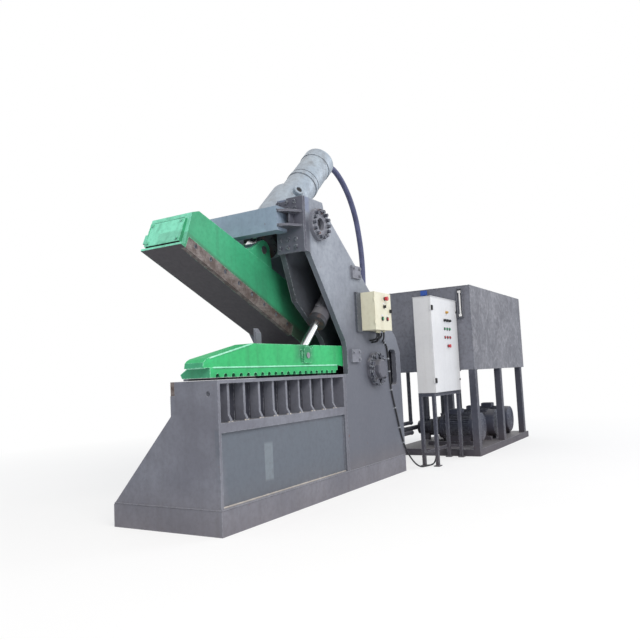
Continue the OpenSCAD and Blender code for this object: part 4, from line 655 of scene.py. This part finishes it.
# Pivot caps: a lobed flange plate with a raised octagonal boss, one on each side
pivotCap = {"flange": 0.205, "lobe": 0.022, "thick": 0.045, "boss": 0.118, "bossOut": 0.125,
            "studs": 0.186, "pairTurn": 13}
pivot = joints["jaw_hinge"]
nearCap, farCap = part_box("pivot_caps")
thick, boss, bossOut = (pivotCap[key] for key in ("thick", "boss", "bossOut"))
rim = []
for k in range(96):
    angle = math.tau * k / 96
    lobed = pivotCap["flange"] + pivotCap["lobe"] * (math.cos(8 * angle + math.pi) - 1) / 2
    rim.append((pivot.x + lobed * math.cos(angle), pivot.z + lobed * math.sin(angle)))
for side, face, out in (("near", nearCap.y + bossOut, -1), ("far", farCap.y - bossOut, 1)):
    shape = bmesh.new()
    centre, outward = Vector((pivot.x, face, pivot.z)), (0, out, 0)
    addSlab(shape, rim, face, face + out * thick)
    for profile in ([(boss, thick - 0.002), (boss, bossOut - 0.012), (boss - 0.014, bossOut)],
                    [(boss + 0.014, thick - 0.002), (boss + 0.012, thick + 0.012),
                     (boss + 0.002, thick + 0.016)]):
        addTurned(shape, profile, centre, outward, 8, math.pi / 8)
    cap = addPart(side + "PivotCap", shape, "frame", "frame_paint", 0.004)
    if side == "near":
        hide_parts("pivot_caps")
    angles = [math.radians(22.5 + 45 * k + turnBy) for k in range(8)
              for turnBy in (-pivotCap["pairTurn"], pivotCap["pairTurn"])]
    studs = [centre + Vector((pivotCap["studs"] * math.cos(a), out * thick,
                              pivotCap["studs"] * math.sin(a))) for a in angles]
    addBolts(side + "PivotStuds", studs, outward, (0.030, 0.026, 0.018), 4, "frame", "bolt_steel")
print("pivot caps and studs")

# Weld beads where the plates meet, one mesh for each body
endX, stepX, rearX = -2.930, -0.740, 0.775
plinthTop, bedTop = 0.215, 1.280
frameFace, recessFace, bayFace, farFace = -0.530, -0.505, -0.400, 0.660
recessX, recessZ, bayZ = (-2.900, -0.790), (0.225, 0.840), (0.920, 1.250)
flange = {"x": -1.462, "tip": -1.648, "y": -0.325, "low": 2.833, "high": 3.010}
crown = {"x": -1.432, "z": (2.578, 3.160)}
ribs = {"first": -2.764, "pitch": 0.221, "count": 9, "half": 0.014, "foot": 0.030, "y": -0.522}
ribX = [ribs["first"] + ribs["pitch"] * i for i in range(ribs["count"])]
seams = [
    [(stepX, frameFace, plinthTop), (rearX, frameFace, plinthTop)],
    [(endX, frameFace, plinthTop), (stepX, frameFace, plinthTop)],
    [(endX, frameFace, plinthTop), (endX, 0.715, plinthTop)],
    [(stepX, frameFace, plinthTop), (stepX, frameFace, bedTop)],
    [(x, recessFace, recessZ[1]) for x in recessX],
    *[[(x, recessFace, z) for z in recessZ] for x in recessX],
    *[[(x, bayFace, z) for x in recessX] for z in bayZ],
    [(flange["x"], flange["y"], z) for z in (2.795, 3.050)],
    *[[(x, flange["y"], z) for x in (flange["tip"], flange["x"])]
      for z in (flange["low"], flange["high"])],
    [(crown["x"], frameFace, z) for z in crown["z"]],
    [(rearX, y, plinthTop) for y in (-0.190, farFace)],
    [(x, farFace, plinthTop) for x in (stepX, rearX)],
]
seams += [[(x + side, bayFace, z) for z in (0.925, 1.248)] for x in ribX
          for side in (-ribs["half"], ribs["half"])]
addBeads("frameWelds", seams, 0.007, 0.012, 5, "frame", "frame_paint")
# painted highlight: weld beads at the rib feet and along the foot of the recess, coloured pale to paint the
# highlight the rib feet catch
paleHighlightWeld = machineEnamel("weld_highlight_pale", {**enamelBase, "paint": "#a8a29c",
                                              "faded": "#c2bdb6", "grimeAndShade": "#7b6b5e",
                                              "dust": 0.1, "foot": 0.2})
seams = [[(x, recessFace - 0.004, plinthTop + 0.014) for x in (-2.895, -0.795)]]
seams += [[(x + side, ribs["y"], 0.924) for side in (-ribs["foot"], ribs["foot"])] for x in ribX]
addBeads("plinthWeld", seams, 0.009, 0.012, 11, "frame", "frame_paint", paleHighlightWeld)

# Plates that lie between the side frames and on the bed, put in to show shade where the background would show
# through: a sheet behind the jaw, in the shade between the uprights, and a strip on the bed in the gap under the
# arm
barLow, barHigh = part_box("grip_bar")
plates = {"top": (-0.780, 2.855), "foot": (-0.205, 2.381), "lean": 0.006, "thick": 0.010,
          "strip": (-2.925, -0.790), "stripWide": 0.050, "stripBack": barHigh.y - 0.022,
          "bed": 1.283, "clear": 0.0015, "sunk": 0.001}
# painted shade: this sheet stands in for the shade behind the jaw
shape = bmesh.new()
outline = [plates["top"], plates["foot"]]
outline += [(x - plates["lean"], z - plates["thick"]) for x, z in reversed(outline)]
addSlab(shape, outline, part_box("near_upright")[1].y - plates["sunk"],
        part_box("far_upright")[0].y + plates["sunk"])
addPart("shadeBackSheet", shape, "frame", "upright_paint", 0.0015)
# painted shade: this strip closes the gap under the arm so that it shows as a dark line
shape = bmesh.new()
addBlock(shape, (plates["strip"][0], plates["stripBack"] - plates["stripWide"], plates["bed"]),
         (plates["strip"][1], plates["stripBack"], barLow.z - plates["clear"]))
addPart("shadeGapStrip", shape, "frame", "frame_paint", 0.002)

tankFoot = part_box("oil_tank")[0].z
tankFace, tankEnd, tankFar, tankBack = -1.048, 2.264, 5.116, 0.352
beadIn = 0.0072  # the beads on the outermost edges sit this far in
nearY, farX = tankFace + beadIn, tankFar - beadIn
seams = [[(x, y, tankFoot + 0.01), (x, y, 2.505)] for x in (tankEnd, farX)
         for y in (nearY, tankBack)]
seams += [[(tankEnd, nearY, z), (farX, nearY, z)] for z in (tankFoot - 0.001, 2.511)]
seams += [[(tankEnd, nearY, z), (tankEnd, tankBack, z)] for z in (tankFoot + 0.002, 2.509)]
addBeads("tankWelds", seams, 0.006, 0.012, 8, "frame", "tank_paint")
# painted highlight: weld beads along the arm's top edges and the nose's slope, coloured a light mint to paint the
# highlight on those edges
mintHighlightWeld = machineEnamel("weld_mint_highlight", {**enamelBase, "paint": "#86e3ba",
                                               "faded": "#a9f0d2", "grimeAndShade": "#4fae83",
                                               "dust": 0.2, "foot": 0.0, "rustFrom": 0.75})
seams = [[(-2.900, -0.463, 1.385), (-0.800, -0.463, 1.385)],
         [(-2.996, -0.455, 1.386), (-2.996, -0.262, 1.386)],
         [(-2.940, -0.4625, 1.465), (-2.350, -0.4625, 1.594)]]
addBeads("armWeld", seams, 0.009, 0.014, 2, "hold_arm", "arm_paint", mintHighlightWeld)
jawFrame = (Matrix.Translation(joints["jaw_hinge"] * Vector((1, 0, 1)))
            @ Matrix.Rotation(math.radians(24), 4, "Y"))
panel = {"x": -2.996, "y": (0.0405, 0.4725), "z": (0.030, 0.290)}
seams = [[(panel["x"], y, z) for z in panel["z"]] for y in panel["y"]]
seams += [[(panel["x"], y, z) for y in panel["y"]] for z in panel["z"]]
seams = [[jawFrame @ Vector(point) for point in path] for path in seams]
addBeads("jawPanelWeld", seams, 0.006, 0.012, 6, "jaw", "jaw_paint")
panelBolts = [jawFrame @ Vector((panel["x"], y, z)) for y in (0.075, 0.440) for z in (0.06, 0.26)]
addBolts("jawPanelBolts", panelBolts, jawFrame.to_3x3() @ Vector((-1, 0, 0)),
         (0.026, 0.012, 0.0), 3, "jaw", "jaw_paint")
print("weld beads")

# Main cylinder: seam bands, end screws, the collar's ring of screws, a plugged port
barrel = {"lean": 46.904, "radius": 0.1972, "seams": (1.515, 1.045, 1.135), "end": 1.670,
          "shoulder": 0.690, "port": 0.600, "portTurn": -35, "portOut": 0.294,
          "capCircle": 0.166, "collarCircle": 0.228, "hoseRoom": 0.085}
cylinderFrame = (Matrix.Translation(joints["cylinder_trunnion"])
                 @ Matrix.Rotation(math.radians(barrel["lean"]), 4, "Y"))
cylinderAxis = cylinderFrame.to_3x3() @ Vector((0, 0, 1))
shape = bmesh.new()
for height in barrel["seams"]:
    low, high = barrel["radius"], barrel["radius"] + 0.003
    addTurned(shape, [(low, height), (high, height + 0.002), (high, height + 0.007),
                      (low, height + 0.009)], cylinderFrame.translation, cylinderAxis, 64)
addPart("cylinderSeams", shape, "main_cylinder", "manifold_paint")
endFrame = cylinderFrame @ Matrix.Translation((0, 0, barrel["end"]))
ends = [point for point in onCircle(endFrame, barrel["capCircle"], 16, 0.2)
        if (point - hosePath[0]).length > barrel["hoseRoom"]]
addBolts("capScrews", ends, cylinderAxis, (0.030, 0.016, 0.0), 9, "main_cylinder",
         "cylinder_paint")
shoulder = cylinderFrame @ Matrix.Translation((0, 0, barrel["shoulder"]))
addBolts("collarScrews", onCircle(shoulder, barrel["collarCircle"], 12), cylinderAxis,
         (0.036, 0.026, 0.006), 12, "main_cylinder", "cylinder_paint")
portFrame = (cylinderFrame @ Matrix.Translation((0, 0, barrel["port"]))
             @ Matrix.Rotation(math.radians(barrel["portTurn"]), 4, "Z")
             @ Matrix.Rotation(math.pi / 2, 4, "X")
             @ Matrix.Translation((0, 0, barrel["portOut"])))
portAxis = portFrame.to_3x3() @ Vector((0, 0, 1))
shape = bmesh.new()
addTurned(shape, [(0.034, -0.006), (0.034, 0.014), (0.038, 0.018), (0.056, 0.018), (0.062, 0.012),
                  (0.064, 0.0), (0.060, -0.008)], portFrame.translation, portAxis, 48)
addPart("portFlange", shape, "main_cylinder", "cylinder_paint", 0.001)
shape = bmesh.new()
addTurned(shape, [(0.0, 0.004), (0.010, 0.003), (0.012, 0.007), (0.030, 0.007), (0.0335, 0.004),
                  (0.0335, -0.006)], portFrame.translation, portAxis, 32)
addPart("portPlug", shape, "main_cylinder", "black_plastic")
print("cylinder details")

# Cabinet: hinge blocks, bezels, blank legend plates, lamps and a drip lip
cabinet = {"left": 1.212, "right": 2.222, "front": -0.832, "top": 2.280, "foot": 0.975,
           "columns": (1.690, 1.790, 1.890), "lampRow": 1.972, "buttonRows": (1.852, 1.732),
           "powerLamp": (1.790, 2.090), "mushroom": (1.790, 1.610), "hinges": (1.136, 2.126)}
left, right, front, top = (cabinet[key] for key in ("left", "right", "front", "top"))
outOfDoor = (0, -1, 0)
buttons = [(x, z) for x in cabinet["columns"] for z in cabinet["buttonRows"]]
rowLamps = [(x, cabinet["lampRow"]) for x in cabinet["columns"]]
shape = bmesh.new()
for z in cabinet["hinges"]:
    addBlock(shape, (left - 0.004, front - 0.016, z - 0.034), (left + 0.046, front, z + 0.034))
    addBlock(shape, (left + 0.006, front - 0.021, z - 0.024),
             (left + 0.036, front - 0.015, z + 0.024))
addPart("cabinetHingeBlocks", shape, "cabinet_door", "black_plastic", 0.003)
shape = bmesh.new()
for x, z in buttons + [cabinet["mushroom"]]:
    addRing(shape, 0.0165, 0.022, 0, 0.0085, (x, front, z), outOfDoor)
addPart("cabinetBezels", shape, "cabinet_door", "black_plastic", 0.001)
shape = bmesh.new()
for x, z in buttons + rowLamps:
    addBlock(shape, (x - 0.019, front - 0.002, z + 0.027), (x + 0.019, front + 0.001, z + 0.043))
addPart("cabinetLegends", shape, "cabinet_door", "cabinet_paint", 0.0006, "white_plastic")
for name, finish, slot, places in (
        ("rowLampLenses", "black_plastic", "black_plastic", rowLamps),
        ("powerLampLens", "amber_plastic", "red_plastic", [cabinet["powerLamp"]])):
    shape = bmesh.new()
    for x, z in places:
        addTurned(shape, [(0.0195, 0.0), (0.0195, 0.022), (0.0165, 0.024), (0.0165, 0.030),
                          (0.0145, 0.034), (0.0095, 0.0375), (0.004, 0.039)],
                  (x, front, z), outOfDoor, 28)
    addPart(name, shape, "cabinet_door", slot, finish=finish)
shape = bmesh.new()
addBlock(shape, (left - 0.006, front - 0.010, top - 0.001), (right + 0.006, -0.570, top + 0.007))
addBlock(shape, (left - 0.003, -0.8125, cabinet["foot"] + 0.004),
         (left + 0.001, -0.8085, top - 0.004))
addPart("cabinetRoof", shape, "frame", "cabinet_paint", 0.002)
print("cabinet details")

# Control box: collars, blank legend plates, a folded door edge
box = {"left": -0.315, "front": -0.736, "foot": 1.779, "high": 0.448}
controls = {  # place on the door, the collar's radius and height, the legend plate's height
    "start": ((-0.125, 1.913), 0.024, 0.013, 0.020),
    "stop": ((0.007, 1.915), 0.024, 0.013, 0.020),
    "selector": ((-0.067, 2.059), 0.023, 0.0055, 0.017),
    "mushroom": ((-0.043, 2.155), 0.022, 0.0115, 0.0)}
left, front, foot = box["left"], box["front"], box["foot"]
collars, legends = bmesh.new(), bmesh.new()
for (x, z), outer, out, high in controls.values():
    addRing(collars, 0.0178, outer, 0, out, (x, front, z), outOfDoor)
    if high:
        addBlock(legends, (x - 0.021, front - 0.002, z + 0.029),
                 (x + 0.021, front + 0.001, z + 0.029 + high))
addPart("controlCollars", collars, "pendant_door", "black_plastic", 0.001)
addPart("controlLegends", legends, "pendant_door", "pendant_paint", 0.0006, "white_plastic")
shape = bmesh.new()
addBlock(shape, (left - 0.002, front - 0.0025, foot - 0.002),
         (left + 0.016, front + 0.001, foot + box["high"]))
addPart("controlDoorFold", shape, "pendant_door", "pendant_paint", 0.001)

# Conduit elbows from the box into the upright, and clips that hold the cable to it
upright = Vector((0, 1, 0))  # into the upright's face
elbows = {"top": 1.756, "falls": ((-0.070, 0.085), (-0.020, 0.105), (0.045, 0.07)),
          "radius": 0.011}
for number, (x, fall) in enumerate(elbows["falls"], 1):
    z = elbows["top"]
    bend = smoothPath([
        (x, -0.632, z), (x, -0.632, z - 0.021), (x, -0.628, z - fall * 0.55),
        (x - 0.002, -0.610, z - fall * 0.85), (x - 0.004, -0.580, z - fall),
        (x - 0.005, -0.555, z - 0.002 - fall), (x - 0.005, -0.530, z - 0.002 - fall)])
    elbow, _ = tubePiece("conduitElbow%d" % number, bend, elbows["radius"], 12,
                         finishes["cable_rubber"])
    seated(elbow, "frame")
shape = bmesh.new()
for index in cable["clipped"]:
    place = cablePoints[index]
    along = (cablePoints[index + 1] - place).normalized()
    addRing(shape, 0.0101, 0.0128, -0.009, 0.009, place, along, 20)
    across = along.cross(upright).normalized()
    put = Matrix((along, upright, across)).transposed().to_4x4()
    put.translation = Vector((place.x, frameFace, place.z))
    addBlock(shape, (-0.009, -0.003, -0.034), (0.009, 0.001, 0.012), put)
    addTurned(shape, [(0.006, 0.0), (0.006, 0.004), (0.003, 0.006)],
              put @ Vector((0, -0.003, -0.024)), outOfDoor, 12)
addPart("cableClips", shape, "frame", "gauge_metal")
print("control box details")

# Oil level gauge in its folded guard, on the tank's end
gauge = {"y": -0.894, "low": 2.035, "high": 2.468, "out": tankEnd - 0.038, "half": 0.044,
         "sheet": 0.005, "sockets": (2.070, 2.420), "tube": (2.075, 2.415)}
y, out, low, high = (gauge[key] for key in ("y", "out", "low", "high"))
y0, y1 = y - gauge["half"], y + gauge["half"]
shape = bmesh.new()
for y2, y3 in ((y0, y0 + gauge["sheet"]), (y1 - gauge["sheet"], y1)):
    addBlock(shape, (out, y2, low), (tankEnd, y3, high))
for z0, z1 in ((low, low + gauge["sheet"]), (high - gauge["sheet"], high)):
    addBlock(shape, (out, y0, z0), (tankEnd, y1, z1))
guard = addPart("gaugeGuard", shape, "frame", "tank_paint", 0.0012)
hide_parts("sight_gauge")
shape = bmesh.new()
for z in gauge["sockets"]:
    addBlock(shape, (tankEnd - 0.037, y - 0.022, z - 0.018), (tankEnd, y + 0.022, z + 0.018))
addTurned(shape, [(0.013, z) for z in gauge["tube"]], (tankEnd - 0.022, y, 0), (0, 0, 1), 24)
addPart("gaugeTube", shape, "frame", "gauge_metal", 0.002, "white_plastic")

# Motors: cast fins, a fan cowl and a lifting eye on each; screws round the flanges
motor = {"places": (2.916, 3.736, 4.556), "z": 0.370, "back": -0.888, "middle": -0.548,
         "flange": -0.228, "radius": 0.212, "fins": 44, "fin": (0.030, 0.005, 0.44)}
z, back, along = motor["z"], motor["back"], (0, 1, 0)
for number, x in enumerate(motor["places"], 1):
    fins = grown("motorFins%d" % number, finTree, [[(0, 0, 0)]],
                 {"Count": motor["fins"], "Radius": motor["radius"], "Fin": motor["fin"]},
                 "frame", "motor_paint")
    fins.data.transform(Matrix.Translation((x, motor["middle"], z))
                        @ Matrix.Rotation(math.pi / 2, 4, "X"))
    shape = bmesh.new()
    addTurned(shape, [(0.205, 0.0), (0.216, 0.008), (0.219, 0.07), (0.219, 0.150),
                      (0.214, 0.150), (0.214, 0.07), (0.200, 0.010)],
              (x, back - 0.006, z), along, 48)
    for radius in (0.05, 0.09, 0.13, 0.17):
        addRing(shape, radius, radius + 0.012, -0.010, -0.004, (x, back, z), along)
    addRing(shape, 0.018, 0.030, -0.007, 0.007, (x, -0.560, z + 0.236), along)
    addBlock(shape, (x - 0.062, -0.580, z + 0.280), (x + 0.062, -0.420, z + 0.287))
    addPart("motorCowl%d" % number, shape, "frame", "motor_paint")
    flangeFrame = (Matrix.Translation((x, motor["flange"], z))
                   @ Matrix.Rotation(-math.pi / 2, 4, "X"))
    addBolts("flangeScrews%d" % number, onCircle(flangeFrame, 0.152, 8, 0.2), along,
             (0.022, 0.014, 0.004), number, "frame", "bolt_steel")

# Tank lid: its ring of screws
lid = {"place": (2.764, -0.048, 2.525), "screwCircle": 0.205, "screws": 16}
screws = onCircle(Matrix.Translation(lid["place"]), lid["screwCircle"], lid["screws"])
addBolts("lidScrews", screws, (0, 0, 1), (0.020, 0.012, 0.003), 15, "frame", "bolt_steel")
print("power pack details")

# Soft studio light, a pale floor, and a white surround for the camera and for reflections


def addLamp(name, place, target, size, power, tint):
    lamp = bpy.data.lights.new(name, "AREA")
    lamp.size = size
    lamp.energy = power
    lamp.color = linear(tint)[:3]
    holder = bpy.data.objects.new(name, lamp)
    holder.location = place
    aim = Vector(target) - Vector(place)
    holder.rotation_euler = aim.to_track_quat("-Z", "Y").to_euler()
    scene.collection.objects.link(holder)


lightSet = {"sky": 0.62, "skyTint": "#eef2f8", "key": 1300.0, "fill": 380.0}
addLamp("keySky", (-7.0, -9.0, 10.0), (0.5, 0.0, 1.2), 7.0, lightSet["key"], "#fff8f0")
addLamp("fillSky", (9.0, -8.0, 7.0), (2.5, 0.0, 1.2), 6.0, lightSet["fill"], "#f1f5ff")
world = bpy.data.worlds.new("surround")
scene.world = world
world.use_nodes = True
sky = world.node_tree
sky.nodes.clear()
paths = addNode(sky, "ShaderNodeLightPath")
seen = paths.outputs["Is Camera Ray"]
for ray in ("Is Transmission Ray", "Is Glossy Ray"):
    seen = addNode(sky, "ShaderNodeMath", {0: seen, 1: paths.outputs[ray]}, operation="MAXIMUM")
dome = addNode(sky, "ShaderNodeBackground", {"Color": linear(lightSet["skyTint"]),
                                             "Strength": lightSet["sky"]})
white = addNode(sky, "ShaderNodeBackground", {"Color": (1, 1, 1, 1), "Strength": 1.0})
surround = addNode(sky, "ShaderNodeMixShader", {0: seen, 1: dome, 2: white})
addNode(sky, "ShaderNodeOutputWorld", {0: surround})

# The floor takes the shadows near the machine and runs out into white for the camera
pad = {"half": 40, "centre": (1.0, 0.0, -0.001), "cells": 8, "near": 3.0, "far": 9.0,
       "nearWhite": 0.6}
shape = bmesh.new()
bmesh.ops.create_grid(shape, x_segments=pad["cells"], y_segments=pad["cells"], size=pad["half"],
                      matrix=Matrix.Translation(pad["centre"]))
material, tree, shader = newMaterial("floor_pale", {"Roughness": 0.9})
here = addNode(tree, "ShaderNodeTexCoord").outputs["Object"]
cloud = addNode(tree, "ShaderNodeTexNoise", {"Vector": here, "Scale": 0.8, "Detail": 4.0})
cloud = addNode(tree, "ShaderNodeMixRGB", {"Fac": cloud, "Color1": linear("#f4f4f4"),
                                           "Color2": linear("#fafafa")})
tree.links.new(cloud.outputs[0], shader.inputs["Base Color"])
away = addNode(tree, "ShaderNodeVectorMath", {0: here, 1: (1.0, 0.0, 0.0)}, operation="DISTANCE")
away = addNode(tree, "ShaderNodeMapRange", {0: away.outputs["Value"], 1: pad["near"],
                                            2: pad["far"], 3: pad["nearWhite"], 4: 1.0})
paths = addNode(tree, "ShaderNodeLightPath")
away = addNode(tree, "ShaderNodeMath", {0: away, 1: paths.outputs["Is Camera Ray"]},
               operation="MULTIPLY")
paper = addNode(tree, "ShaderNodeEmission", {"Color": (1, 1, 1, 1), "Strength": 1.0})
paper = addNode(tree, "ShaderNodeMixShader", {0: away, 1: shader, 2: paper})
floorOut = next(node for node in tree.nodes if node.bl_idname == "ShaderNodeOutputMaterial")
tree.links.new(paper.outputs[0], floorOut.inputs["Surface"])
meshPiece("floor", shape, material)
print("lights and floor")
